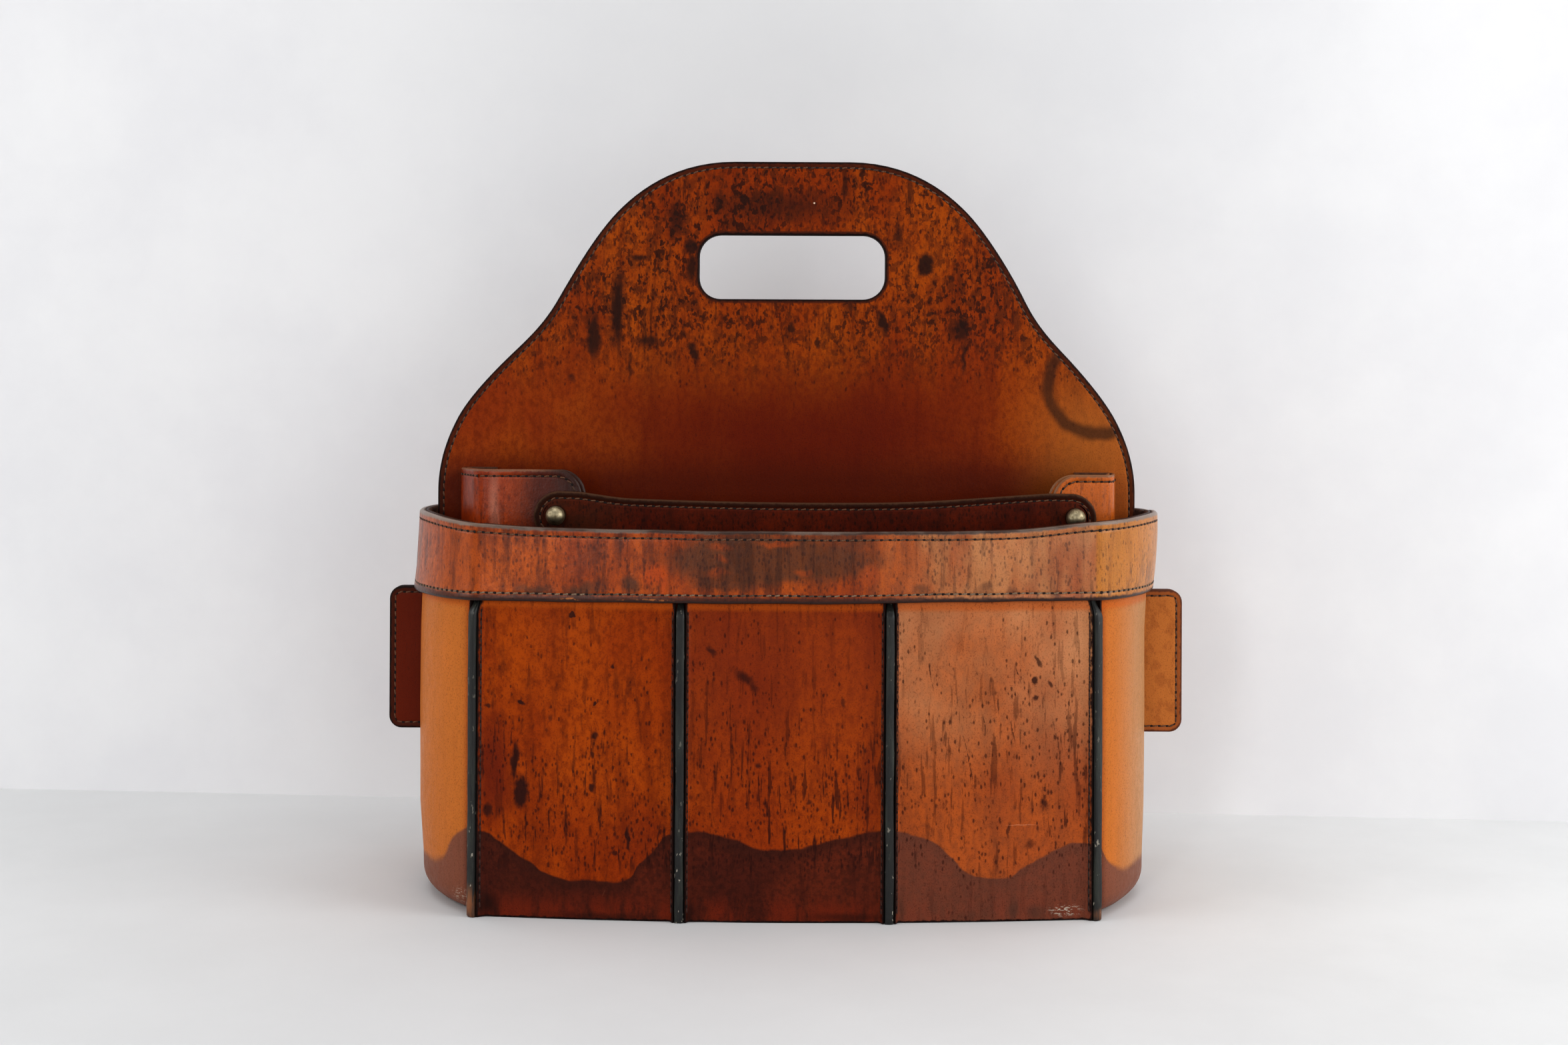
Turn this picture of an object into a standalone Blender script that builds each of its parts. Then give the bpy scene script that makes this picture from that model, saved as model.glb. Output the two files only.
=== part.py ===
"""An electrician's tool pouch: an open leather tub with an upright divider and a tool strap.

Metres, +Z up. The origin is in the middle of the base, on the surface that it
stands on. +X is to the right and the front faces -Y.
"""

import math

import bmesh
import bpy
from mathutils import Matrix, Vector
from mathutils.geometry import interpolate_bezier

GAP = 0.0003                    # clearance between pieces that touch

# Tub: outer line of its walls, seen from above
HALF_WIDTH = 0.190              # to the middle of an end wall
CORNER_X = 0.151                # where the front and rear faces meet the end walls
CORNER_Y = 0.069
BOW = 0.009                     # how far the front and rear bulge between the corners
END_ANGLE = math.radians(30)    # how sharply an end wall turns away at a corner
END_REACH = (0.028, 0.030)      # the end curve's handles, at the corner and at the middle
WALL = 0.003
PANEL_SEAM_X = 0.0505           # seams between the three panels of a face
FACE_STEPS = 6                  # straight steps along one panel
END_STEPS = 12                  # along half an end wall

# Rim
RIM_TOP = 0.191                 # at the ends
RIM_DIP = 0.005                 # how much lower the middle of a face is
BAND_BOTTOM = 0.156
BAND_THICK = 0.003

# Welts: raised strips sewn in at the seams
WELT_WIDTH = 0.0042
WELT_PROUD = 0.003
WELT_FADE = 0.009               # height over which a welt dives under the band
WELT_SET_BACK = 0.0013          # behind the wall's face where the band covers it
CORNER_WELT_TURN = math.radians(38)

# Base
SOLE_THICK = 0.003
BOARD_THICK = 0.002
BOARD_INSET = 0.0015            # board edge inside the sole's edge

# Divider: two leathers on a stiff core
SKIN_THICK = 0.0024
CORE_THICK = 0.0012
CORE_INSET = 0.011
DIVIDER_HALF = 0.1817
DIVIDER_SIDE_TOP = 0.203
DIVIDER_TOP = 0.3753
DIVIDER_FLAT = 0.030            # half length of the straight stretch at the top
HANDLE_SIZE = (0.097, 0.0335)
HANDLE_Z = 0.3203
HANDLE_RADIUS = 0.0115
EAR_X = 0.2066
EAR_Z = (0.079, 0.153)
EAR_RADIUS = 0.0065
SLIT_GAP = 0.0005

# Brackets that stand the strap off the divider
BRACKET_PLY = 0.0022
BRACKET_Z = (0.170, 0.214)
BRACKET_FACE_Y = -0.030         # front of the outer ply
BRACKET_RADIUS = 0.013          # corners of the free end
FOOT_LENGTH = 0.022
BEND_RADIUS = 0.0055            # of the outer ply's outer face
LINING_SHOWS = 0.0018           # how far the lining stands out past the outer ply's end
TRIM = 0.002                    # what is cut off all round

# Strap
STRAP_PLY = 0.00135
STRAP_HALF_HEIGHT = 0.0128
STRAP_ENDS = (-0.1277, 0.157)
STRAP_Z = 0.1925                # middle of the strap at its ends
STRAP_SAG = 0.004
STRAP_FLEX_X = 0.128            # line that the strap bends about
STRAP_HOLE = 0.0048             # radius

# Ball studs
STUD_X = (-0.1162, 0.146)
BALL_RADIUS = 0.0045
NECK_RADIUS = 0.0023
FLANGE_RADIUS = 0.0040
FLANGE_THICK = 0.001
BALL_STANDOFF = 0.0066          # from the flange's back to the ball's middle
BORE_RADIUS = 0.0018
BORE_DEPTH = 0.0026
SCREW_HEAD_RADIUS = 0.0045
SCREW_HEAD_THICK = 0.0014
SCREW_HEAD_CHAMFER = 0.0006

SKIN_Y = CORE_THICK / 2 + GAP + SKIN_THICK / 2
DIVIDER_FRONT_Y = -(SKIN_Y + SKIN_THICK / 2)
FLOOR_Z = SOLE_THICK + GAP + BOARD_THICK

MATERIALS = {
    "tan_leather": ((0.42, 0.14, 0.03), 0.42, 0.0),
    "brown_leather": ((0.22, 0.065, 0.018), 0.45, 0.0),
    "dark_leather": ((0.075, 0.028, 0.014), 0.5, 0.0),
    "black_leather": ((0.018, 0.019, 0.015), 0.38, 0.0),
    "fibre_board": ((0.20, 0.15, 0.10), 0.85, 0.0),
    "nickel": ((0.70, 0.64, 0.52), 0.25, 1.0),
}


def clear_scene():
    for obj in list(bpy.data.objects):
        bpy.data.objects.remove(obj, do_unlink=True)


def make_collection(name):
    collection = bpy.data.collections.new(name)
    bpy.context.scene.collection.children.link(collection)
    return collection


def make_material(name):
    colour, roughness, metallic = MATERIALS[name]
    material = bpy.data.materials.new(name)
    material.use_nodes = True
    shader = material.node_tree.nodes["Principled BSDF"]
    shader.inputs["Base Color"].default_value = (*colour, 1.0)
    shader.inputs["Roughness"].default_value = roughness
    shader.inputs["Metallic"].default_value = metallic
    material.diffuse_color = (*colour, 1.0)
    return material


clear_scene()
PARTS = make_collection("tool_pouch")
CUTTERS = make_collection("cutters")
MATERIAL = {name: make_material(name) for name in MATERIALS}


# ---- helpers

def add_object(name, data, material, matrix=None):
    obj = bpy.data.objects.new(name, data)
    data.materials.append(MATERIAL[material])
    PARTS.objects.link(obj)
    if matrix is not None:
        obj.matrix_world = matrix
    return obj


def add_cutter(name, bm):
    """A cutting solid, kept out of the model."""
    mesh = bpy.data.meshes.new(name)
    bm.to_mesh(mesh)
    bm.free()
    return hide_cutter(bpy.data.objects.new(name, mesh))


def hide_cutter(obj):
    obj.hide_render = True
    obj.display_type = "WIRE"
    CUTTERS.objects.link(obj)
    return obj


def box_cutter(name, low, high, matrix=None):
    bm = bmesh.new()
    low, high = Vector(low), Vector(high)
    size = high - low
    place = Matrix.Translation((low + high) / 2) @ Matrix.Diagonal((*size, 1.0))
    bmesh.ops.create_cube(bm, size=1.0, matrix=place)
    if matrix is not None:
        bm.transform(matrix)
    return add_cutter(name, bm)


def boolean(obj, cutter, operation="DIFFERENCE"):
    modifier = obj.modifiers.new(cutter.name, "BOOLEAN")
    modifier.operation = operation
    modifier.solver = "EXACT"
    modifier.object = cutter


def flat_curve(name, outlines, thickness):
    """A 2D curve filled between closed outlines: the first is the edge, the rest are holes."""
    curve = bpy.data.curves.new(name, "CURVE")
    curve.dimensions = "2D"
    curve.fill_mode = "BOTH"
    curve.extrude = thickness / 2
    for outline in outlines:
        spline = curve.splines.new("POLY")
        spline.points.add(len(outline) - 1)
        for point, (x, y) in zip(spline.points, outline):
            point.co = (x, y, 0.0, 1.0)
        spline.use_cyclic_u = True
    return curve


def flat_mesh(name, outlines, thickness):
    """The same flat piece as a closed mesh, ready to be cut."""
    curve = flat_curve(name, outlines, thickness)
    guide = bpy.data.objects.new(name + "_guide", curve)
    CUTTERS.objects.link(guide)
    evaluated = guide.evaluated_get(bpy.context.evaluated_depsgraph_get())
    mesh = bpy.data.meshes.new_from_object(evaluated)
    mesh.name = name
    bpy.data.objects.remove(guide)
    bm = bmesh.new()
    bm.from_mesh(mesh)
    bmesh.ops.remove_doubles(bm, verts=bm.verts, dist=1e-6)
    bm.to_mesh(mesh)
    bm.free()
    return mesh


def upright(y):
    """Stands a flat outline up: its x stays x, its y becomes z, and it lies at the given y."""
    return Matrix.Translation((0, y, 0)) @ Matrix.Rotation(math.pi / 2, 4, "X")


def arc(centre, radius, start, end, steps):
    """Points along a circle, with its angles in degrees."""
    angles = [math.radians(start + (end - start) * i / steps) for i in range(steps + 1)]
    return [(centre[0] + radius * math.cos(a), centre[1] + radius * math.sin(a)) for a in angles]


def rounded_box(low, high, radius, steps=5):
    """A rectangle with round corners, anticlockwise from its lower right corner."""
    corners = (
        ((high[0] - radius, low[1] + radius), -90),
        ((high[0] - radius, high[1] - radius), 0),
        ((low[0] + radius, high[1] - radius), 90),
        ((low[0] + radius, low[1] + radius), 180),
    )
    return [p for centre, start in corners for p in arc(centre, radius, start, start + 90, steps)]


def mirrored(half):
    """Adds a half outline's other side: it runs from the bottom up its right side."""
    return half + [(-x, y) for x, y in reversed(half)]


# ---- the tub's lines, anticlockwise from above, so that outside is on the right

def face_y(x):
    """The front face's outer line: a shallow arc."""
    radius = (CORNER_X ** 2 + BOW ** 2) / (2 * BOW)
    return radius - BOW - CORNER_Y - math.sqrt(radius ** 2 - x ** 2)


def face_line(start, end, steps=FACE_STEPS):
    xs = [start + (end - start) * i / steps for i in range(steps + 1)]
    return [Vector((x, face_y(x), 0)) for x in xs]


def end_line():
    """The right end wall's outer line, from the front corner to the rear one."""
    corner = Vector((CORNER_X, -CORNER_Y, 0))
    middle = Vector((HALF_WIDTH, 0, 0))
    leave = END_REACH[0] * Vector((math.cos(END_ANGLE), math.sin(END_ANGLE), 0))
    arrive = Vector((0, -END_REACH[1], 0))
    half = interpolate_bezier(corner, corner + leave, middle + arrive, middle, END_STEPS + 1)
    return half + [Vector((p.x, -p.y, 0)) for p in reversed(half[:-1])]


def turned(line):
    """The same line on the far side of the tub."""
    return [Vector((-p.x, -p.y, 0)) for p in line]


def tub_line():
    """The whole outer line, without a repeated point."""
    front = face_line(-CORNER_X, CORNER_X, FACE_STEPS * 3)
    half = front[:-1] + end_line()[:-1]
    return half + turned(half)


def offset_line(line, distance, closed=True):
    """A line moved outwards by a distance."""
    moved = []
    last = len(line) - 1
    for i, point in enumerate(line):
        before = point - line[i - 1] if closed or i > 0 else line[1] - point
        after = line[(i + 1) % len(line)] - point if closed or i < last else before
        normals = [Vector((d.y, -d.x, 0)).normalized() for d in (before, after)]
        middle = (normals[0] + normals[1]).normalized()
        moved.append(point + middle * distance / middle.dot(normals[0]))
    return moved


def rim_z(x):
    """Height of the rim's top edge: it dips towards the middle of each face."""
    return RIM_TOP - RIM_DIP * (1 - (x / HALF_WIDTH) ** 2)


def rounded_line(corners, radius):
    """An open line whose inner corners are arcs of one radius."""
    line = [corners[0]]
    for before, corner, after in zip(corners, corners[1:], corners[2:]):
        back = (before - corner).normalized()
        ahead = (after - corner).normalized()
        bend = math.pi - back.angle(ahead)
        reach = radius * math.tan(bend / 2)
        handle = radius * math.tan(bend / 4) * 4 / 3
        start, end = corner + back * reach, corner + ahead * reach
        line += interpolate_bezier(start, start - back * handle, end - ahead * handle, end, 6)
    return line + [corners[-1]]


# ---- shells

def shell(name, line, bottom, top, thickness, material, closed=False):
    """An upright strip along a line, thickened inwards. top is a function of x."""
    bm = bmesh.new()
    verts = [bm.verts.new((p.x, p.y, bottom)) for p in line]
    pairs = list(zip(verts, verts[1:]))
    if closed:
        pairs.append((verts[-1], verts[0]))
    edges = [bm.edges.new(pair) for pair in pairs]
    raised = bmesh.ops.extrude_edge_only(bm, edges=edges)["geom"]
    for vert in raised:
        if isinstance(vert, bmesh.types.BMVert):
            vert.co.z = top(vert.co.x)
    mesh = bpy.data.meshes.new(name)
    bm.normal_update()
    direction = line[1] - line[0]
    outward = Vector((direction.y, -direction.x, 0))
    face = min(bm.faces, key=lambda f: (f.calc_center_median() - line[0]).xy.length)
    if face.normal.dot(outward) < 0:
        bmesh.ops.reverse_faces(bm, faces=bm.faces)
    bm.to_mesh(mesh)
    bm.free()
    mesh.shade_smooth()
    mesh.set_sharp_from_angle(angle=math.radians(30))
    obj = add_object(name, mesh, material)
    solidify = obj.modifiers.new("thickness", "SOLIDIFY")
    solidify.thickness = thickness
    solidify.offset = -1.0
    solidify.use_even_offset = True
    return obj


# ---- welts

def welt_frame(x, turn):
    """Where a front welt stands: its x axis points out of the tub and its y axis up."""
    outward = Vector((math.sin(turn), -math.cos(turn), 0))
    up = Vector((0, 0, 1))
    side = outward.cross(up)
    matrix = Matrix((outward, up, side)).transposed().to_4x4()
    matrix.translation = (x, face_y(x), 0)
    return matrix


def welt_places():
    """Name and place of all eight welts: the front ones, then the same turned to the rear."""
    radius = (CORNER_X ** 2 + BOW ** 2) / (2 * BOW)
    lean = math.asin(PANEL_SEAM_X / radius)
    front = (
        ("corner_left", -CORNER_X, -CORNER_WELT_TURN),
        ("left", -PANEL_SEAM_X, -lean),
        ("right", PANEL_SEAM_X, lean),
        ("corner_right", CORNER_X, CORNER_WELT_TURN),
    )
    half_turn = Matrix.Rotation(math.pi, 4, "Z")
    swap = {"corner_left": "corner_right", "left": "right", "right": "left", "corner_right": "corner_left"}
    places = {}
    for name, x, turn in front:
        frame = welt_frame(x, turn)
        places["front_welt_" + name] = frame
        places["rear_welt_" + swap[name]] = half_turn @ frame
    return places


def make_welts(places):
    for name, frame in places.items():
        top = rim_z(frame.translation.x) - GAP
        fade_top = BAND_BOTTOM - GAP
        inner = -WALL
        outline = (
            (inner, 0.0),
            (WELT_PROUD, 0.0),
            (WELT_PROUD, fade_top - WELT_FADE),
            (WELT_PROUD * 0.6, fade_top - WELT_FADE * 0.4),
            (-WELT_SET_BACK, fade_top),
            (-WELT_SET_BACK, top),
            (inner, top),
        )
        add_object(name, flat_curve(name, [outline], WELT_WIDTH), "black_leather", frame)


def make_welt_cutters(places):
    """Each welt with clearance round it, and longer than the walls are high."""
    half = WELT_WIDTH / 2 + GAP
    reach = WALL * 2
    cutters = {}
    for name, frame in places.items():
        low = (-WALL - GAP, -reach, -half)
        high = (reach, RIM_TOP + reach, half)
        cutters[name] = box_cutter("cut_" + name, low, high, frame)
    return cutters


# ---- walls and rim

def make_walls(cutters):
    seams = (-CORNER_X, -PANEL_SEAM_X, PANEL_SEAM_X, CORNER_X)
    welts = ("corner_left", "left", "right", "corner_right")
    for i, side in enumerate(("left", "center", "right")):
        line = face_line(seams[i], seams[i + 1])
        for face, path in (("front", line), ("rear", [Vector((p.x, -p.y, 0)) for p in reversed(line)])):
            panel = shell(f"{face}_panel_{side}", path, 0.0, rim_z, WALL, "tan_leather")
            for welt in welts[i:i + 2]:
                boolean(panel, cutters[f"{face}_welt_{welt}"])
    for side, path, sign in (("right", end_line(), 1), ("left", turned(end_line()), -1)):
        wall = shell("end_wall_" + side, path, 0.0, rim_z, WALL, "tan_leather")
        for face in ("front", "rear"):
            boolean(wall, cutters[f"{face}_welt_corner_{side}"])
        half_slit = -DIVIDER_FRONT_Y + SLIT_GAP
        ends = sorted((sign * (HALF_WIDTH - 3 * WALL), sign * (HALF_WIDTH + WALL)))
        low = (ends[0], -half_slit, EAR_Z[0] - SLIT_GAP)
        high = (ends[1], half_slit, EAR_Z[1] + SLIT_GAP)
        boolean(wall, box_cutter("ear_slit_" + side, low, high))


def make_rim_band():
    line = offset_line(tub_line(), GAP + BAND_THICK)
    shell("rim_band", line, BAND_BOTTOM, rim_z, BAND_THICK, "tan_leather", closed=True)


def make_base(cutters):
    sole_line = [(p.x, p.y) for p in offset_line(tub_line(), -WALL - GAP)]
    board_line = [(p.x, p.y) for p in offset_line(tub_line(), -WALL - GAP - BOARD_INSET)]
    place = Matrix.Translation((0, 0, SOLE_THICK / 2))
    sole_mesh = flat_mesh("base_sole", [sole_line], SOLE_THICK)
    sole = add_object("base_sole", sole_mesh, "brown_leather", place)
    place = Matrix.Translation((0, 0, FLOOR_Z - BOARD_THICK / 2))
    board_mesh = flat_mesh("base_board", [board_line], BOARD_THICK)
    board = add_object("base_board", board_mesh, "fibre_board", place)
    for name, cutter in cutters.items():
        if "corner" in name:
            boolean(sole, cutter)
            boolean(board, cutter)


# ---- divider

def divider_side(inset):
    """Right side above the rim: a round shoulder, a shallow waist and a round flank."""
    knots = (
        # x, z, direction of travel in degrees, handle length
        (DIVIDER_HALF, DIVIDER_SIDE_TOP, 90, 0.014),
        (0.1715, 0.2412, 118, 0.013),
        (0.1430, 0.2760, 135, 0.013),
        (0.1204, 0.3035, 118, 0.012),
        (0.0901, 0.3486, 134, 0.016),
        (DIVIDER_FLAT, DIVIDER_TOP, 180, 0.030),
    )
    points = []
    for (x0, z0, a0, h0), (x1, z1, a1, h1) in zip(knots, knots[1:]):
        start, end = Vector((x0, z0, 0)), Vector((x1, z1, 0))
        leave = h0 * Vector((math.cos(math.radians(a0)), math.sin(math.radians(a0)), 0))
        arrive = h1 * Vector((math.cos(math.radians(a1)), math.sin(math.radians(a1)), 0))
        curve = interpolate_bezier(start, start + leave, end - arrive, end, 8)
        points += curve if not points else curve[1:]
    shifted = []
    for i, point in enumerate(points):
        travel = points[min(i + 1, len(points) - 1)] - points[max(i - 1, 0)]
        inward = Vector((-travel.y, travel.x, 0)).normalized()
        moved = point + inward * inset
        shifted.append((moved.x, moved.y))
    return shifted


def handle_hole(margin=0.0):
    half_x, half_z = HANDLE_SIZE[0] / 2 + margin, HANDLE_SIZE[1] / 2 + margin
    low, high = (-half_x, HANDLE_Z - half_z), (half_x, HANDLE_Z + half_z)
    return rounded_box(low, high, HANDLE_RADIUS + margin)


def skin_outline():
    """A divider leather: the divider with an ear on each side."""
    bottom = FLOOR_Z + GAP
    ear = [(DIVIDER_HALF, EAR_Z[0])]
    ear += arc((EAR_X - EAR_RADIUS, EAR_Z[0] + EAR_RADIUS), EAR_RADIUS, -90, 0, 5)
    ear += arc((EAR_X - EAR_RADIUS, EAR_Z[1] - EAR_RADIUS), EAR_RADIUS, 0, 90, 5)
    ear += [(DIVIDER_HALF, EAR_Z[1])]
    return mirrored([(DIVIDER_HALF, bottom)] + ear + divider_side(0.0))


def make_divider():
    outlines = [skin_outline(), handle_hole()]
    for name, y in (("divider_front_leather", -SKIN_Y), ("divider_rear_leather", SKIN_Y)):
        add_object(name, flat_curve(name, outlines, SKIN_THICK), "brown_leather", upright(y))
    core = mirrored([(DIVIDER_HALF - CORE_INSET, FLOOR_Z + GAP + CORE_INSET)] + divider_side(CORE_INSET))
    curve = flat_curve("divider_core_board", [core, handle_hole(CORE_INSET / 2)], CORE_THICK)
    add_object("divider_core_board", curve, "fibre_board", upright(0.0))


# ---- brackets, strap and studs

def bracket_line(root_x, bend_x, end_x):
    """Outer face seen from above: a foot on the divider, a leg forward and a leaf along the strap."""
    toward = 1 if end_x > root_x else -1
    foot_y = DIVIDER_FRONT_Y - GAP
    corners = (
        (root_x + toward * FOOT_LENGTH, foot_y, 0),
        (root_x, foot_y, 0),
        (bend_x, BRACKET_FACE_Y, 0),
        (end_x, BRACKET_FACE_Y, 0),
    )
    line = rounded_line([Vector(corner) for corner in corners], BEND_RADIUS)
    return line if toward > 0 else line[::-1]


def make_bracket(side, root_x, bend_x, end_x):
    """Two plies, each bent from a longer strip and trimmed to an outline with round corners."""
    toward = 1 if end_x > root_x else -1
    far_x = root_x - toward * 2 * BRACKET_RADIUS
    bottom, top = BRACKET_Z
    for ply, depth, longer in (("outer", 0.0, 0.0), ("lining", BRACKET_PLY + GAP, LINING_SHOWS)):
        tip = end_x + toward * longer
        line = offset_line(bracket_line(root_x, bend_x, tip + toward * TRIM), -depth, closed=False)
        name = f"bracket_{side}_{ply}"
        leaf = shell(name, line, bottom - TRIM, lambda x: top + TRIM, BRACKET_PLY, "dark_leather")
        low = (min(far_x, tip), bottom)
        high = (max(far_x, tip), top)
        mesh = flat_mesh(name + "_trim", [rounded_box(low, high, BRACKET_RADIUS)], -2.5 * BRACKET_FACE_Y)
        trim = hide_cutter(bpy.data.objects.new(mesh.name, mesh))
        trim.matrix_world = upright(BRACKET_FACE_Y)
        boolean(leaf, trim, "INTERSECT")
        boolean(leaf, SCREW_HOLES[side])


def strap_middle(x):
    """Height of the strap's middle line: it hangs a little between its ends."""
    middle = sum(STRAP_ENDS) / 2
    half = (STRAP_ENDS[1] - STRAP_ENDS[0]) / 2
    return STRAP_Z - STRAP_SAG * (1 - ((x - middle) / half) ** 2)


def strap_outline(start, end):
    """The strap between two x values; an end that is the strap's own is round."""
    left = start + (STRAP_HALF_HEIGHT if start == STRAP_ENDS[0] else 0)
    right = end - (STRAP_HALF_HEIGHT if end == STRAP_ENDS[1] else 0)
    steps = max(2, round((right - left) / 0.015))
    xs = [left + (right - left) * i / steps for i in range(steps + 1)]
    below = [(x, strap_middle(x) - STRAP_HALF_HEIGHT) for x in xs]
    above = [(x, strap_middle(x) + STRAP_HALF_HEIGHT) for x in reversed(xs)]
    if end == STRAP_ENDS[1]:
        below += arc((right, strap_middle(right)), STRAP_HALF_HEIGHT, -90, 90, 10)[1:-1]
    if start == STRAP_ENDS[0]:
        above += arc((left, strap_middle(left)), STRAP_HALF_HEIGHT, 90, 270, 10)[1:-1]
    return below + above


def make_strap():
    """Two plies; the strap bends at the flex line, where the moving stretch starts."""
    back_y = BRACKET_FACE_Y - GAP
    stretches = (
        ("strap", STRAP_ENDS[0], STRAP_FLEX_X, STUD_X[0]),
        ("strap_end", STRAP_FLEX_X + GAP, STRAP_ENDS[1], STUD_X[1]),
    )
    for stretch, start, end, stud_x in stretches:
        hole = arc((stud_x, STRAP_Z), STRAP_HOLE, 0, 345, 23)
        outlines = [strap_outline(start, end), hole]
        for ply, layer in (("lining", 0), ("face", 1)):
            y = back_y - STRAP_PLY / 2 - layer * (STRAP_PLY + GAP)
            name = f"{stretch}_{ply}"
            add_object(name, flat_curve(name, outlines, STRAP_PLY), "dark_leather", upright(y))


def turned_mesh(name, profile):
    """The half outline of a turned piece, from its top down its outer side."""
    mesh = bpy.data.meshes.new(name)
    bm = bmesh.new()
    verts = [bm.verts.new((radius, 0.0, height)) for radius, height in profile]
    for pair in zip(verts, verts[1:]):
        bm.edges.new(pair)
    bm.to_mesh(mesh)
    bm.free()
    return mesh


def add_turned(name, profile, material, matrix):
    obj = add_object(name, turned_mesh(name, profile), material, matrix)
    screw = obj.modifiers.new("turn", "SCREW")
    screw.steps = 24
    screw.render_steps = 24
    screw.use_merge_vertices = True
    screw.merge_threshold = 1e-5
    return obj


def stud_frame(x, y):
    """The z axis of a stud points out of the strap, to the front."""
    return Matrix.Translation((x, y, STRAP_Z)) @ Matrix.Rotation(math.pi / 2, 4, "X")


def make_studs():
    neck_angle = math.degrees(math.acos(NECK_RADIUS / BALL_RADIUS))
    ball = arc((0.0, BALL_STANDOFF), BALL_RADIUS, 90, -neck_angle, 12)
    stud_profile = [(0.0, BALL_STANDOFF + BALL_RADIUS)] + ball[1:] + [
        (NECK_RADIUS, FLANGE_THICK),
        (FLANGE_RADIUS, FLANGE_THICK),
        (FLANGE_RADIUS, 0.0),
        (BORE_RADIUS, 0.0),
        (BORE_RADIUS, BORE_DEPTH),
        (0.0, BORE_DEPTH),
    ]
    plies = 2 * BRACKET_PLY + GAP
    shank_top = plies + GAP + BORE_DEPTH
    shank = BORE_RADIUS - GAP
    screw_profile = [
        (0.0, shank_top),
        (shank, shank_top),
        (shank, 0.0),
        (SCREW_HEAD_RADIUS, 0.0),
        (SCREW_HEAD_RADIUS, SCREW_HEAD_CHAMFER - SCREW_HEAD_THICK),
        (SCREW_HEAD_RADIUS - SCREW_HEAD_CHAMFER, -SCREW_HEAD_THICK),
        (0.0, -SCREW_HEAD_THICK),
    ]
    for side, x in zip(("left", "right"), STUD_X):
        add_turned("stud_" + side, stud_profile, "nickel", stud_frame(x, BRACKET_FACE_Y - GAP))
        back_y = BRACKET_FACE_Y + plies + GAP
        add_turned("stud_screw_" + side, screw_profile, "nickel", stud_frame(x, back_y))


def make_screw_holes():
    """Holes through the brackets for the stud screws."""
    holes = {}
    depth = 4 * (BRACKET_PLY + GAP)
    for side, x in zip(("left", "right"), STUD_X):
        bm = bmesh.new()
        bmesh.ops.create_cone(
            bm, cap_ends=True, segments=16, radius1=BORE_RADIUS, radius2=BORE_RADIUS, depth=depth,
            matrix=stud_frame(x, BRACKET_FACE_Y),
        )
        holes[side] = add_cutter("screw_hole_" + side, bm)
    return holes


WELT_PLACES = welt_places()
WELT_CUTTERS = make_welt_cutters(WELT_PLACES)
SCREW_HOLES = make_screw_holes()
make_walls(WELT_CUTTERS)
make_welts(WELT_PLACES)
make_rim_band()
make_base(WELT_CUTTERS)
make_divider()
make_bracket("left", -0.1706, -0.156, -0.1038)
make_bracket("right", 0.1715, 0.166, 0.135)
make_strap()
make_studs()
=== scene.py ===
"""The looks of a saddle-made tool pouch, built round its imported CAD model.

Metres, +Z up, the front faces -Y. Each piece is a closed mesh that lies where its
CAD nodes lie. Meshes carry two attributes that the leather reads: edge_mm, the
distance in from the piece's cut edge in millimetres, and inside, 1 on its flesh side.
"""

import math

import bmesh
import bpy
from mathutils import Matrix, Vector, noise
from mathutils.geometry import interpolate_bezier


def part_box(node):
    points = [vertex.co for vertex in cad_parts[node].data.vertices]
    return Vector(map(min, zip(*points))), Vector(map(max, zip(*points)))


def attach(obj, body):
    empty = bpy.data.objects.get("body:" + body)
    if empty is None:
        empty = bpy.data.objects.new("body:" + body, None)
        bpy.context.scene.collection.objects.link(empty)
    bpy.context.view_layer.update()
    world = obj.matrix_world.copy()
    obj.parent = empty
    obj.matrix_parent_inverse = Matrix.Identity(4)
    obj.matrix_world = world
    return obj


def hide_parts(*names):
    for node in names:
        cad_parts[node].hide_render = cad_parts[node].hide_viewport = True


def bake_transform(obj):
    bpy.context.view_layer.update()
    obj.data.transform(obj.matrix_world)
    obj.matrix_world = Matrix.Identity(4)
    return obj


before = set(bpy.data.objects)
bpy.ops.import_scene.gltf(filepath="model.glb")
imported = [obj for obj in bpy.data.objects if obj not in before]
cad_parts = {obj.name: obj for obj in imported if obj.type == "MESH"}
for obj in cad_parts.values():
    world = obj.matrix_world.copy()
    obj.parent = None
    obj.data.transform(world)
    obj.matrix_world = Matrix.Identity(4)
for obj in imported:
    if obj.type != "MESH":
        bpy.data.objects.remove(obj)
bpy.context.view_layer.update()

# ---- sizes that the CAD model gives
GAP = 0.0003
WALL = 0.003
HALF_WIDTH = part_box("end_wall_right")[1].x
FRONT_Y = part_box("front_panel_center")[0].y
CORNER_X = 0.151
CORNER_Y = 0.069
BOW = -FRONT_Y - CORNER_Y
FACE_RADIUS = (CORNER_X ** 2 + BOW ** 2) / (2 * BOW)
SEAM_X = 0.0505
END_ANGLE = math.radians(30)
END_REACH = (0.028, 0.030)
CORNER_WELT_TURN = math.radians(38)
RIM_TOP = 0.191
RIM_DIP = 0.0024
BAND_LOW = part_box("rim_band")[0].z
BAND_THICK = 0.003
SLIT = (0.0038, 0.0785, 0.1535)             # half width, bottom and top
FLOOR_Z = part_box("base_board")[1].z
DIVIDER_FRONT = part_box("divider_front_leather")[0].y
DIVIDER_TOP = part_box("divider_front_leather")[1].z
DIVIDER_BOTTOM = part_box("divider_front_leather")[0].z
EAR_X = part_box("divider_front_leather")[1].x
DIVIDER_HALF = 0.1817
DIVIDER_SIDE_TOP = 0.203
EAR_Z = (0.079, 0.153)
EAR_RADIUS = 0.0065
HANDLE_SIZE = (0.097, 0.0335)
HANDLE_Z = 0.3203
HANDLE_RADIUS = 0.0115
BRACKET_FACE_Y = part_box("bracket_left_outer")[0].y
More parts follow.
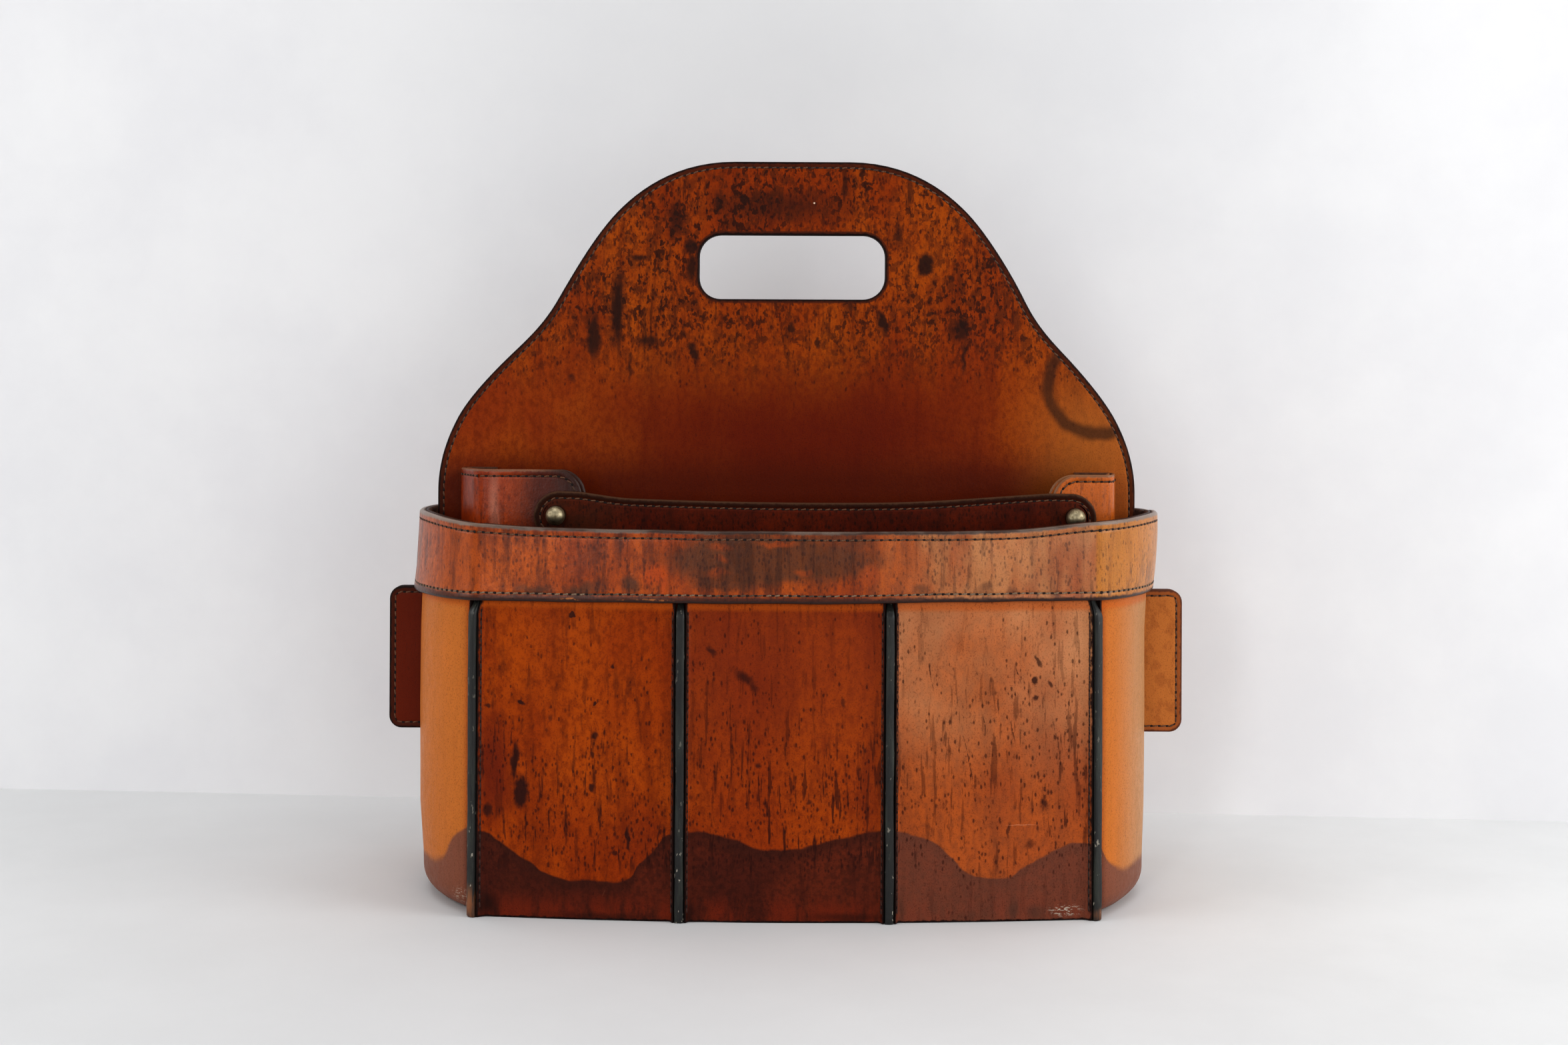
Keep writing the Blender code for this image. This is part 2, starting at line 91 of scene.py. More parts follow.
BRACKET_Z = (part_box("bracket_left_outer")[0].z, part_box("bracket_left_outer")[1].z)
BRACKET_PLY = 0.0022
BRACKET_RADIUS = 0.013
BEND_RADIUS = 0.0055
FOOT_LENGTH = 0.022
LINING_SHOWS = 0.0018
STRAP_ENDS = (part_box("strap_face")[0].x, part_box("strap_end_face")[1].x)
STRAP_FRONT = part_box("strap_face")[0].y
STRAP_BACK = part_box("strap_lining")[1].y
STRAP_HALF_HEIGHT = 0.0128
STRAP_SAG = 0.004
STUD_X = (-0.1162, 0.146)
STUD_Z = 0.1925

# ---- how the old leather has moved
BAND_HANG = 0.0022
CORNER_PULLS = ((0.0034, 0.156, 0.030), (0.0012, -0.156, 0.022))    # height, x and spread, at the front
END_RISES = ((0.0030, -1, 0.150), (0.0028, 1, 0.158))               # height, side and where it starts
# How far each end is drawn in, and how that changes with height: by, from and to
LEFT_DRAWN = (0.0007, (0.0012, 0.146, 0.158), (0.0013, 0.158, 0.190), (0.0022, 0.050, 0.012))
RIGHT_DRAWN = (0.0038, (-0.0028, 0.135, 0.190), (0.0010, 0.060, 0.012))

# ---- sizes of the finish
RIM_EDGE = 0.0012                           # rounding of the rim's edges
BAND_EDGE = 0.0011
BRACKET_EDGE = 0.0007
PANEL_FOOT = 0.0008
PANEL_BULGE = 0.0009
PANEL_TOP_STEPS = (0.0012, 0.0005, 0.00015, 0.0)
FLANGE = 0.006                              # an end wall's turned edge under the sole
HIDDEN_EDGE = 0.004                         # kept off that edge, so that it isn't drawn burnt
DIVIDER_THICK = 0.0024                      # one leather
DIVIDER_KNOTS = (                           # x, z, heading in degrees, reach of the curve's handle
    (DIVIDER_HALF, DIVIDER_SIDE_TOP, 90, 0.014), (0.1715, 0.2412, 118, 0.013), (0.1430, 0.2760, 135, 0.013),
    (0.1216, 0.3035, 118, 0.013), (0.0912, 0.3490, 134, 0.017), (0.030, DIVIDER_TOP, 180, 0.030),
)
WELT_HALF = 0.0022
WELT_WIDEST = 0.00235
WELT_PROUD = 0.003
WELT_SUNK = 0.0013                          # below the wall's face, under the band
WELT_FADE = 0.009                           # height over which seams die away under the band
FOOT_RADIUS = 0.0125                        # rounding under an end wall
PITCH = 0.0041                              # one stitch
THREAD = 0.00046
GROOVE_DEPTH = 0.00028
THREAD_SINK = GROOVE_DEPTH * 0.8
SEAM_ROW = 0.00385
RIM_ROW = 0.004                             # stitches in from the edge
STRAP_ROW = 0.0034
DIVIDER_ROW = 0.0031
BRACKET_ROW = RIM_ROW * 0.85
DIVIDER_LEAN = 0.0026
STITCH_HOLE = (0.0015, 0.0014, 0.00030)
SHARP_ANGLE = math.radians(38)
FAR_IN = 8.0                                # edge_mm of everything past a plate's last ring
OPEN = 0.02                                 # distance in of everything past a wall's edges


# ---- lines and roundings

def spread(low, high, steps):
    """Evenly spaced values from low to high, both included."""
    return [low + (high - low) * i / steps for i in range(steps + 1)]


def rounding(distance, radius):
    """How far an edge rounded to that radius has dropped, at a distance in from it."""
    short = max(0.0, radius - distance)
    return radius - math.sqrt(radius ** 2 - short ** 2)


def smooth(value, start, full):
    """0 at start, 1 at full and past it, and an S between them. full may be the lower one."""
    t = min(1.0, max(0.0, (value - start) / (full - start)))
    return t * t * (3 - 2 * t)


def wander(x, y=0.0, z=0.0, size=0.02, seed=0):
    """Smooth noise from -1 to 1 that changes over about that many metres."""
    return noise.noise(Vector((x / size + seed * 7.31, y / size, z / size)))


class Path:
    """A line seen from above, which runs with the outside on its right."""

    def __init__(self, points, closed=False):
        self.points = [Vector((p[0], p[1], 0)) for p in points]
        if closed:
            self.points.append(self.points[0].copy())
        count = len(self.points)
        self.normals = []
        for i in range(count):
            before = self.points[i - 1] if i else self.points[-2 if closed else 0]
            after = self.points[i + 1] if i < count - 1 else self.points[1 if closed else -1]
            travel = after - before
            self.normals.append(Vector((travel.y, -travel.x, 0)).normalized())
        self.marks = [0.0]
        for a, b in zip(self.points, self.points[1:]):
            self.marks.append(self.marks[-1] + (b - a).length)
        self.length = self.marks[-1]

    def spot(self, s):
        """The point and the outward way at a distance along the line."""
        s = min(max(s, 0.0), self.length)
        i = next((k for k in range(len(self.marks) - 2) if self.marks[k + 1] >= s), len(self.marks) - 2)
        share = (s - self.marks[i]) / max(self.marks[i + 1] - self.marks[i], 1e-9)
        point = self.points[i].lerp(self.points[i + 1], share)
        return point, self.normals[i].lerp(self.normals[i + 1], share).normalized()

    def at(self, s, out, z):
        point, normal = self.spot(s)
        return Vector((point.x + normal.x * out, point.y + normal.y * out, z))


def face_spot(x):
    """The front's outer line at x, and the way that faces out there."""
    centre = Vector((0, FRONT_Y + FACE_RADIUS, 0))
    point = Vector((x, centre.y - math.sqrt(FACE_RADIUS ** 2 - x ** 2), 0))
    return point, (point - centre).normalized()


def face_line(start, end, steps=24):
    return [face_spot(start + (end - start) * i / steps)[0] for i in range(steps + 1)]


def end_line(steps=26):
    """The right end's outer line, from the front corner to the rear one."""
    corner = Vector((CORNER_X, -CORNER_Y, 0))
    middle = Vector((HALF_WIDTH, 0, 0))
    leave = END_REACH[0] * Vector((math.cos(END_ANGLE), math.sin(END_ANGLE), 0))
    arrive = Vector((0, END_REACH[1], 0))
    half = interpolate_bezier(corner, corner + leave, middle - arrive, middle, steps + 1)
    return half + [Vector((p.x, -p.y, 0)) for p in reversed(half[:-1])]


def tub_line():
    """All round, anticlockwise from the middle of the left end."""
    end = end_line()
    middle = len(end) // 2
    left = [Vector((-p.x, -p.y, 0)) for p in end]
    front = face_line(-CORNER_X, CORNER_X, 72)
    rear = [Vector((-p.x, -p.y, 0)) for p in front]
    return left[middle:-1] + front[:-1] + end[:-1] + rear[:-1] + left[:middle]


def rim_z(x, y):
    """The rim's top: it dips to the middle of each face, and the ends and the front corners are pulled up."""
    height = RIM_TOP - RIM_DIP * (1 - (x / HALF_WIDTH) ** 2) + 0.0003 * wander(x, y, size=0.03)
    if y < 0:
        height += sum(rise * math.exp(-((x - middle) / width) ** 2) for rise, middle, width in CORNER_PULLS)
    return height + sum(rise * smooth(side * x, start, 0.190) for rise, side, start in END_RISES)


def band_z(x, y):
    """The band's lower edge, which hangs below the pattern, most at the left."""
    return BAND_LOW - BAND_HANG + 0.0014 * smooth(x, 0.0, 0.12) + 0.0004 * wander(x, y, size=0.025, seed=2)


def drawn_in(x, z):
    """How far an end has been pulled in from its pattern: old walls lean in towards the foot."""
    least, *changes = LEFT_DRAWN if x < 0 else RIGHT_DRAWN
    drawn = least + sum(amount * smooth(z, start, full) for amount, start, full in changes)
    return drawn * smooth(abs(x), 0.153, 0.184)


def rounded_line(corners, radius):
    """An open line whose inner corners are arcs of one radius."""
    line = [corners[0]]
    for before, corner, after in zip(corners, corners[1:], corners[2:]):
        back = (before - corner).normalized()
        ahead = (after - corner).normalized()
        bend = math.pi - back.angle(ahead)
        reach = radius * math.tan(bend / 2)
        handle = radius * math.tan(bend / 4) * 4 / 3
        start, end = corner + back * reach, corner + ahead * reach
        line += interpolate_bezier(start, start - back * handle, end - ahead * handle, end, 10)
    return line + [corners[-1]]


def arc(centre, radius, start, end, steps):
    angles = [math.radians(start + (end - start) * i / steps) for i in range(steps + 1)]
    return [(centre[0] + radius * math.cos(a), centre[1] + radius * math.sin(a)) for a in angles]


def rounded_box(low, high, radius, steps=10):
    corners = (
        ((high[0] - radius, low[1] + radius), -90),
        ((high[0] - radius, high[1] - radius), 0),
        ((low[0] + radius, high[1] - radius), 90),
        ((low[0] + radius, low[1] + radius), 180),
    )
    return [p for centre, start in corners for p in arc(centre, radius, start, start + 90, steps)]


def filled_in(outline, step):
    """A closed outline with no stretch longer than step."""
    dense = []
    for (x0, y0), (x1, y1) in zip(outline, outline[1:] + outline[:1]):
        pieces = max(1, math.ceil(math.hypot(x1 - x0, y1 - y0) / step))
        dense += [(x0 + (x1 - x0) * i / pieces, y0 + (y1 - y0) * i / pieces) for i in range(pieces)]
    return dense


def inset(outline, distance):
    """A closed anticlockwise outline moved inwards."""
    moved = []
    count = len(outline)
    for i in range(count):
        here = Vector(outline[i])
        before = (here - Vector(outline[i - 1])).normalized()
        after = (Vector(outline[(i + 1) % count]) - here).normalized()
        normals = [Vector((-d.y, d.x)) for d in (before, after)]
        middle = (normals[0] + normals[1]).normalized()
        moved.append(tuple(here + middle * distance / max(0.5, middle.dot(normals[0]))))
    return moved


# ---- meshes

def add_object(name, data):
    obj = bpy.data.objects.new(name, data)
    bpy.context.scene.collection.objects.link(obj)
    return obj


def add_piece(name, mesh, body):
    """A piece of the object that rides on a body. One without a body stands alone."""
    obj = add_object(name, mesh)
    if body:
        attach(obj, body)
    return obj


def finish_piece(name, bm, material, nodes, body="pouch", transform=None):
    """Turns a closed bmesh into a piece that stands in for CAD nodes."""
    if transform is not None:
        bm.transform(transform)
    bmesh.ops.recalc_face_normals(bm, faces=bm.faces)
    mesh = bpy.data.meshes.new(name)
    bm.to_mesh(mesh)
    bm.free()
    mesh.shade_smooth()
    mesh.set_sharp_from_angle(angle=SHARP_ANGLE)
    mesh.materials.append(MATERIAL[material])
    obj = add_piece(name, mesh, body)
    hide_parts(*nodes)
    return obj


def new_bmesh():
    bm = bmesh.new()
    return bm, bm.verts.layers.float.new("edge_mm"), bm.verts.layers.float.new("inside")


def sheet(columns, rows, place, closed=False, holes=()):
    """A closed solid over a grid of points.

    place(column, row) gives the outer point, the inner point and the distance in from
    the cut edge. holes are the cells left out, as column and row numbers.
    """
    bm, edge_layer, inside_layer = new_bmesh()
    grids = ([], [])
    partner = {}
    for row in rows:
        lines = ([], [])
        for column in columns:
            *points, distance = place(column, row)
            for inside, point in enumerate(points):
                vert = bm.verts.new(point)
                vert[edge_layer] = distance * 1000
                vert[inside_layer] = inside
                lines[inside].append(vert)
        for grid, line in zip(grids, lines):
            grid.append(line)
        partner.update(zip(*lines))
    count = len(columns)
    for j in range(len(rows) - 1):
        for i in range(count if closed else count - 1):
            if (i, j) in holes:
                continue
            k = (i + 1) % count
            for grid, flip in zip(grids, (1, -1)):
                cell = (grid[j][i], grid[j][k], grid[j + 1][k], grid[j + 1][i])
                bm.faces.new(cell[::flip])
    for edge in list(bm.edges):
        if len(edge.link_faces) == 1 and edge.verts[0] in partner:
            loop = edge.link_loops[0]
            a, b = loop.vert, loop.link_loop_next.vert
            bm.faces.new((b, a, partner[a], partner[b]))
    return bm


def across(steps, between, low, high):
    """Heights from a low edge to a high one: the steps in from each, and even ones between."""
    middle = spread(low + steps[-1], high - steps[-1], between + 1)[1:-1]
    return [low + step for step in steps] + middle + [high - step for step in reversed(steps)]


def bridge(bm, low, high):
    """Faces between two closed loops of points, of which one may be a single point."""
    count = max(len(low), len(high))
    for i in range(count):
        k = (i + 1) % count
        corners = (low[i % len(low)], low[k % len(low)], high[k % len(high)], high[i % len(high)])
        bm.faces.new(list(dict.fromkeys(corners)))


def edge_steps(radius, row=None):
    """Distances in from an edge where a surface needs points: its rounding, and a sewn groove."""
    steps = [0.0, radius * 0.06, radius * 0.25, radius * 0.6, radius]
    if row:
        steps += [row - 0.0007, row - 0.00035, row, row + 0.00035, row + 0.0007, row + 0.0015]
    return steps


def groove(distance, row):
    """Depth of the groove that a row of stitches lies in."""
    return GROOVE_DEPTH * max(0.0, 1 - ((distance - row) / 0.0007) ** 2) if row else 0.0


def plate(outline, holes, front, back, radius, row=None):
    """A flat piece in x and z between two y values, with rounded edges and a sewn groove on both faces."""
    bm, edge_layer, _ = new_bmesh()
    borders = [(outline, 1, row, edge_steps(radius, row) + ([] if row else [radius * 2]))]
    borders += [(hole, -1, None, edge_steps(radius) + [radius * 2, radius * 4]) for hole in holes]
    rims = []
    for y, sign in ((front, 1), (back, -1)):
        inner_edges, first_loops = [], []
        for border, direction, sewn, steps in borders:
            loops = []
            for distance in steps:
                line = inset(border, direction * distance)
                drop = rounding(distance, radius) + groove(distance, sewn)
                loops.append([bm.verts.new((x, y + sign * drop, z)) for x, z in line])
                for vert in loops[-1]:
                    vert[edge_layer] = FAR_IN if distance == steps[-1] else distance * 1000
            for pair in zip(loops, loops[1:]):
                bridge(bm, *pair)
            last = loops[-1]
            inner_edges += [bm.edges.get(pair) for pair in zip(last, last[1:] + last[:1])]
            first_loops.append(loops[0])
        bmesh.ops.triangle_fill(bm, use_beauty=True, edges=inner_edges, normal=(0, -1, 0))
        rims.append(first_loops)
    for pair in zip(*rims):
        bridge(bm, *pair)
    return bm


def turned(profile, segments=40):
    """A solid of revolution about z. The profile runs from the axis to the axis."""
    bm, _, _ = new_bmesh()
    rings = []
    for radius, height in profile:
        if radius == 0.0:
            rings.append([bm.verts.new((0, 0, height))])
            continue
        angles = [2 * math.pi * i / segments for i in range(segments)]
        rings.append([bm.verts.new((radius * math.cos(a), radius * math.sin(a), height)) for a in angles])
    for pair in zip(rings, rings[1:]):
        bridge(bm, *pair)
    return bm


# ---- stitches

def capsule():
    """Points and faces of one stitch, 1 long and 1 thick, along x."""
    segments, rings = 8, 6
    points = [Vector((-0.5, 0, 0))]
    for j in range(1, rings):
        angle = math.pi * j / rings
        x = -0.5 * math.copysign(abs(math.cos(angle)) ** 0.55, math.cos(angle))
        radius = 0.5 * math.sin(angle) ** 0.6
        for i in range(segments):
            turn = 2 * math.pi * i / segments
            points.append(Vector((x, radius * math.cos(turn), radius * math.sin(turn))))
    points.append(Vector((0.5, 0, 0)))
    faces = []
    last = len(points) - 1
    for i in range(segments):
        k = (i + 1) % segments
        faces.append((0, 1 + k, 1 + i))
        faces.append((last, last - segments + i, last - segments + k))
        for j in range(rings - 2):
            low, high = 1 + j * segments, 1 + (j + 1) * segments
            faces.append((low + i, low + k, high + k, high + i))
    return points, faces


CAPSULE_POINTS, CAPSULE_FACES = capsule()


def resample(line, pitch):
    """Evenly spaced (point, normal, travel) along a list of (point, normal), about pitch apart."""
    marks = [0.0]
    for (a, _), (b, _) in zip(line, line[1:]):
        marks.append(marks[-1] + (b - a).length)
    count = max(2, round(marks[-1] / pitch))
    spots = []
    i = 0
    for n in range(count):
        s = marks[-1] * (n + 0.5) / count
        while marks[i + 1] < s:
            i += 1
        share = (s - marks[i]) / max(marks[i + 1] - marks[i], 1e-9)
        (a, na), (b, nb) = line[i], line[i + 1]
        spots.append((a.lerp(b, share), na.lerp(nb, share).normalized(), (b - a).normalized()))
    return spots, marks[-1] / count


def stitch_row(name, lines, thread, body="pouch", slant=10, seed=0):
    """Thread and its holes along one or more lines of (point, normal)."""
    points, faces, finish = [], [], []

    def place(centre, travel, normal, size, index):
        side = normal.cross(travel).normalized()
        base = len(points)
        axes = [way * length for way, length in zip((travel, side, normal), size)]
        for p in CAPSULE_POINTS:
            points.append(centre + axes[0] * p.x + axes[1] * p.y + axes[2] * p.z)
        faces.extend([tuple(base + i for i in face) for face in CAPSULE_FACES])
        finish.extend([index] * len(CAPSULE_FACES))

    for line in lines:
        spots, pitch = resample(line, PITCH)
        for n, (centre, normal, travel) in enumerate(spots):
            jog = wander(n * 0.37, seed=seed + 3, size=1.0)
            tilt = math.radians(slant + 7 * jog)
            side = normal.cross(travel).normalized()
            along = (travel * math.cos(tilt) + side * math.sin(tilt)).normalized()
            length = pitch * (0.66 + 0.06 * jog)
            place(centre - normal * THREAD * 0.3, along, normal, (length, THREAD * 2.1, THREAD * 2), 0)
            place(centre + travel * (pitch / 2) + normal * 0.00002, along, normal, STITCH_HOLE, 1)
    mesh = bpy.data.meshes.new(name)
    mesh.from_pydata(points, [], faces)
    for key in (thread, "stitch_hole"):
        mesh.materials.append(MATERIAL[key])
    mesh.polygons.foreach_set("material_index", finish)
    mesh.shade_smooth()
    return add_piece(name, mesh, body)


# ---- materials

def rgb(*display):
    """A display colour, 0 to 255, as Blender's linear one."""
    shares = [value / 255 for value in display]
    return (*(c / 12.92 if c <= 0.04045 else ((c + 0.055) / 1.055) ** 2.4 for c in shares), 1.0)


class Nodes:
    """A node tree, built from short calls. Most calls return an output socket."""

    def __init__(self, tree):
        self.tree = tree

    def node(self, kind, inputs=(), **settings):
        node = self.tree.nodes.new("ShaderNode" + kind)
        for key, value in settings.items():
            setattr(node, key, value)
        for key, value in dict(inputs).items():
            self.feed(node.inputs[key], value)
        return node

    def feed(self, socket, value):
        if isinstance(value, bpy.types.NodeSocket):
            self.tree.links.new(value, socket)
        else:
            socket.default_value = value

    def math(self, operation, a, b=0.0):
        return self.node("Math", {0: a, 1: b}, operation=operation).outputs[0]

    def times(self, first, *others):
        for other in others:
            first = self.math("MULTIPLY", first, other)
        return first

    def vector(self, operation, *values):
        return self.node("VectorMath", enumerate(values), operation=operation).outputs

    def ease(self, value, low, high, start=0.0, end=1.0):
        inputs = {"Value": value, "From Min": low, "From Max": high, "To Min": start, "To Max": end}
        return self.node("MapRange", inputs, interpolation_type="SMOOTHSTEP").outputs["Result"]


def mark_group():
    """A soft-edged ellipse in x and z: 1 inside, 0 outside."""
    tree = bpy.data.node_groups.new("mark", "ShaderNodeTree")
    for names, kind in ((("Place", "Centre", "Scale"), "Vector"), (("Turn", "Soft", "Strength"), "Float")):
        for name in names:
            tree.interface.new_socket(name, in_out="INPUT", socket_type="NodeSocket" + kind)
    tree.interface.new_socket("Mask", in_out="OUTPUT", socket_type="NodeSocketFloat")
    given = tree.nodes.new("NodeGroupInput").outputs
    s = Nodes(tree)
    away = s.vector("SUBTRACT", given["Place"], given["Centre"])[0]
    turn = s.node("VectorRotate", {"Vector": away, "Angle": given["Turn"]}, rotation_type="Y_AXIS").outputs[0]
    length = s.vector("LENGTH", s.vector("MULTIPLY", turn, given["Scale"])[0])["Value"]
    mask = s.ease(length, s.math("SUBTRACT", 1.0, given["Soft"]), 1.0, given["Strength"], 0.0)
    s.feed(tree.nodes.new("NodeGroupOutput").inputs["Mask"], mask)
    return tree


MARK = mark_group()
class Shader(Nodes):
    """A material's nodes."""

    def __init__(self, name):
        self.material = bpy.data.materials.new(name)
        self.material.use_nodes = True
        super().__init__(self.material.node_tree)
        self.surface = self.tree.nodes["Principled BSDF"]
        self.place = self.node("TexCoord").outputs["Object"]

    def stretched(self, x, y, z, shift=0.0, turn=0.0):
        """Object coordinates scaled apart along each axis, for noise that runs one way."""
        inputs = {"Vector": self.place, "Scale": (x, y, z), "Location": (shift, shift, shift)}
        inputs["Rotation"] = (0, math.radians(turn), 0)
        return self.node("Mapping", inputs).outputs[0]

    def upright(self, z, shift=0.0, turn=0.0):
        """Coordinates for noise that is drawn out up and down."""
        return self.stretched(1, 1, z, shift, turn)

    def noise(self, vector, scale, detail=3.0, roughness=0.55, distortion=0.0):
        inputs = {"Vector": vector, "Scale": scale, "Detail": detail, "Roughness": roughness}
        inputs["Distortion"] = distortion
        return self.node("TexNoise", inputs).outputs["Fac"]

    def mix(self, factor, a, b):
        node = self.node("Mix", data_type="RGBA")
        for index, value in ((0, factor), (6, a), (7, b)):
            self.feed(node.inputs[index], value)
        return node.outputs[2]

    def attribute(self, name):
        return self.node("Attribute", attribute_name=name).outputs["Fac"]

    def axes(self):
        return self.node("SeparateXYZ", {0: self.place}).outputs[:3]

    def ragged(self, amount, scale=90.0):
        """Object coordinates shaken by noise, so that marks get uneven outlines."""
        shake = self.node("TexNoise", {"Vector": self.place, "Scale": scale, "Detail": 3.0}).outputs["Color"]
        centred = self.vector("SUBTRACT", shake, (0.5, 0.5, 0.5))[0]
        return self.vector("MULTIPLY_ADD", centred, (amount,) * 3, self.place)[0]

    def marks(self, place, rows):
        """The strongest of several marks: x, z and half sizes in mm, turn in degrees, softness, strength."""
        total = None
        for x, z, half_x, half_z, turn, soft, strength in rows:
            node = self.node("Group")
            node.node_tree = MARK
            given = {"Place": place, "Turn": math.radians(-turn), "Soft": soft, "Strength": strength}
            given["Centre"] = (x / 1000, 0, z / 1000)
            given["Scale"] = (1000 / half_x, 0, 1000 / half_z)
            for key, value in given.items():
                self.feed(node.inputs[key], value)
            mask = node.outputs["Mask"]
            total = mask if total is None else self.math("MAXIMUM", total, mask)
        return total

    def curve(self, value, points):
        """A smooth curve through (x, y) points that lie between 0 and 1."""
        node = self.node("FloatCurve", {"Value": value})
        line = node.mapping.curves[0]
        for point, (x, y) in zip(line.points, (points[0], points[-1])):
            point.location = (x, y)
        for x, y in points[1:-1]:
            line.points.new(x, y)
        node.mapping.update()
        return node.outputs[0]

    def bump(self, height, distance, strength=1.0, under=None):
        inputs = {"Height": height, "Distance": distance, "Strength": strength}
        if under is not None:
            inputs["Normal"] = under
        return self.node("Bump", inputs).outputs[0]

    def finish(self, colour, roughness, normal=None, specular=0.5, metallic=0.0):
        given = {"Base Color": colour, "Roughness": roughness, "Metallic": metallic}
        given["Specular IOR Level"] = specular
        if normal is not None:
            given["Normal"] = normal
        for key, value in given.items():
            self.feed(self.surface.inputs[key], value)
        return self.material


RING_CENTRE = (0.1619, DIVIDER_FRONT, 0.2602)
RING_RADIUS = 0.0258

# Marks: x and z in mm, half sizes in mm, turn in degrees, softness, strength
PANEL_SHADE = (
    (-141, 74, 12, 38, 0, 0.8, 0.75), (-66, 40, 18, 26, 0, 0.9, 0.3), (42, 62, 14, 40, 0, 0.9, 0.35),
)
PANEL_NICKS = (
    (114.5, 46.9, 10, 0.22, 0, 0.9, 0.7), (-87, 13.5, 0.35, 2.4, 25, 0.6, 0.8),
    (-152, 100, 0.3, 0.8, 0, 0.5, 0.8),
)
FOOT_BLACK = (
    (-144, 6, 9, 9, 0, 0.9, 0.9), (-46, 4, 3, 8, 0, 0.9, 0.7), (56, 8, 3, 9, 0, 0.9, 0.7),
    (111, 6, 4, 6, 0, 0.8, 0.9), (122, 5, 7, 6, 0, 0.8, 0.9), (30, 3, 30, 3.5, 0, 0.9, 0.6),
    (-90, 2, 40, 3, 0, 0.9, 0.6), (90, 3, 14, 4, 0, 0.9, 0.6),
)
FOOT_WORN = ((136, 5, 11, 4, 0, 0.8, 0.9), (-158, 8, 7, 6, 0, 0.8, 0.6))
BAND_CHIPS = ((-100, 155.0, 12, 1.5, 0, 0.5, 0.9), (-68, 154.8, 18, 1.4, 0, 0.5, 0.9))


def leather(name, light, middle, deep, mark, dots=0.5, dashes=0.0, edge=None, edge_mm=(0.7, 1.5), rim=None,
            zones=None, crowd=None, shift=0.0, gloss=(0.36, 0.52), shine=0.10):
    """Old bridle leather: clouded dye, specks, pores, and dark burnished edges."""
    s = Shader(name)
    cloud = s.noise(s.upright(0.6, shift), 16, 3, 0.6)
    streak = s.noise(s.upright(0.16, shift + 3), 95, 4, 0.62)
    mottle = s.noise(s.upright(0.7, shift + 5), 330, 5, 0.68)
    cells = s.node("TexVoronoi", {"Vector": s.upright(0.5, shift + 7, 8), "Scale": 620.0}).outputs
    dash = s.noise(s.upright(0.12, shift + 11), 330, 3, 0.6)
    pores = s.noise(s.place, 1500, 2, 0.5)
    colour = s.mix(s.ease(cloud, 0.36, 0.66), middle, light)
    for pattern, low, high in ((streak, 0.46, 0.72), (mottle, 0.40, 0.66)):
        colour = s.mix(s.ease(pattern, low, high, 0, 0.5), colour, deep)
    if zones:
        colour = zones(s, colour)
    density = s.ease(s.noise(s.upright(0.6, shift + 9), 34, 3, 0.6), 0.34, 0.58, 0.42, 1.0)
    if crowd:
        density = s.times(density, crowd(s))
    chance = s.node("SeparateXYZ", {0: cells["Color"]}).outputs["X"]
    chosen = s.ease(s.math("SUBTRACT", chance, density), -0.30, 0.0, 1.0, 0.0)
    ragged = s.math("ADD", cells["Distance"], s.ease(mottle, 0.3, 0.7, 0.10, -0.12))
    specks = s.times(s.ease(ragged, 0.17, 0.43, dots, 0.0), chosen)
    streaks = s.times(s.ease(dash, 0.560, 0.62, 0, dashes), density)
    for mask in (specks, streaks, s.ease(pores, 0.50, 0.75, 0, 0.4)):
        colour = s.mix(mask, colour, mark)
    uneven = s.math("ADD", s.attribute("edge_mm"), s.ease(mottle, 0.3, 0.7, -0.35, 0.35))
    rim_mm = (edge_mm[1] * 1.5, edge_mm[1] * 2.6)
    for shade, reach, strength in ((rim, rim_mm, 0.85), (edge, edge_mm, 1.0)):
        if shade:
            mask = s.ease(uneven, *reach, strength, 0.0)
            colour = s.mix(mask, colour, shade(s) if callable(shade) else shade)
    inside = s.attribute("inside")
    flesh = s.mix(s.ease(mottle, 0.35, 0.7), rgb(84, 48, 28), rgb(46, 26, 16))
    colour = s.mix(inside, colour, flesh)
    roughness = s.math("MAXIMUM", s.ease(mottle, 0.3, 0.75, *gloss), s.times(inside, 0.85))
    creases = s.bump(s.noise(s.upright(0.8, shift), 700, 4, 0.6), 0.00022, 0.5)
    waves = s.bump(s.noise(s.upright(0.7, shift + 2), 45, 2, 0.5), 0.0012, 0.35, creases)
    return s.finish(colour, roughness, waves, specular=shine)


# Height of the old damp mark round the tub's foot, from left to right: x and z in mm
TIDE = (
    (-190, 22), (-173, 25), (-163, 37), (-157, 41.5), (-151, 43), (-140, 38.8), (-123, 28), (-112, 22),
    (-98, 20), (-77, 20), (-71, 27.5), (-61, 37), (-50.5, 44.5), (-38, 44), (-24, 40.6), (0, 36.2),
    (18, 39.8), (36, 43.4), (50.5, 45), (66, 42), (81, 32.6), (100, 21.8), (115, 26.8), (133, 35),
    (149, 38.6), (157, 29), (165, 24), (190, 22),
)
TIDE_TALLEST = 50.0

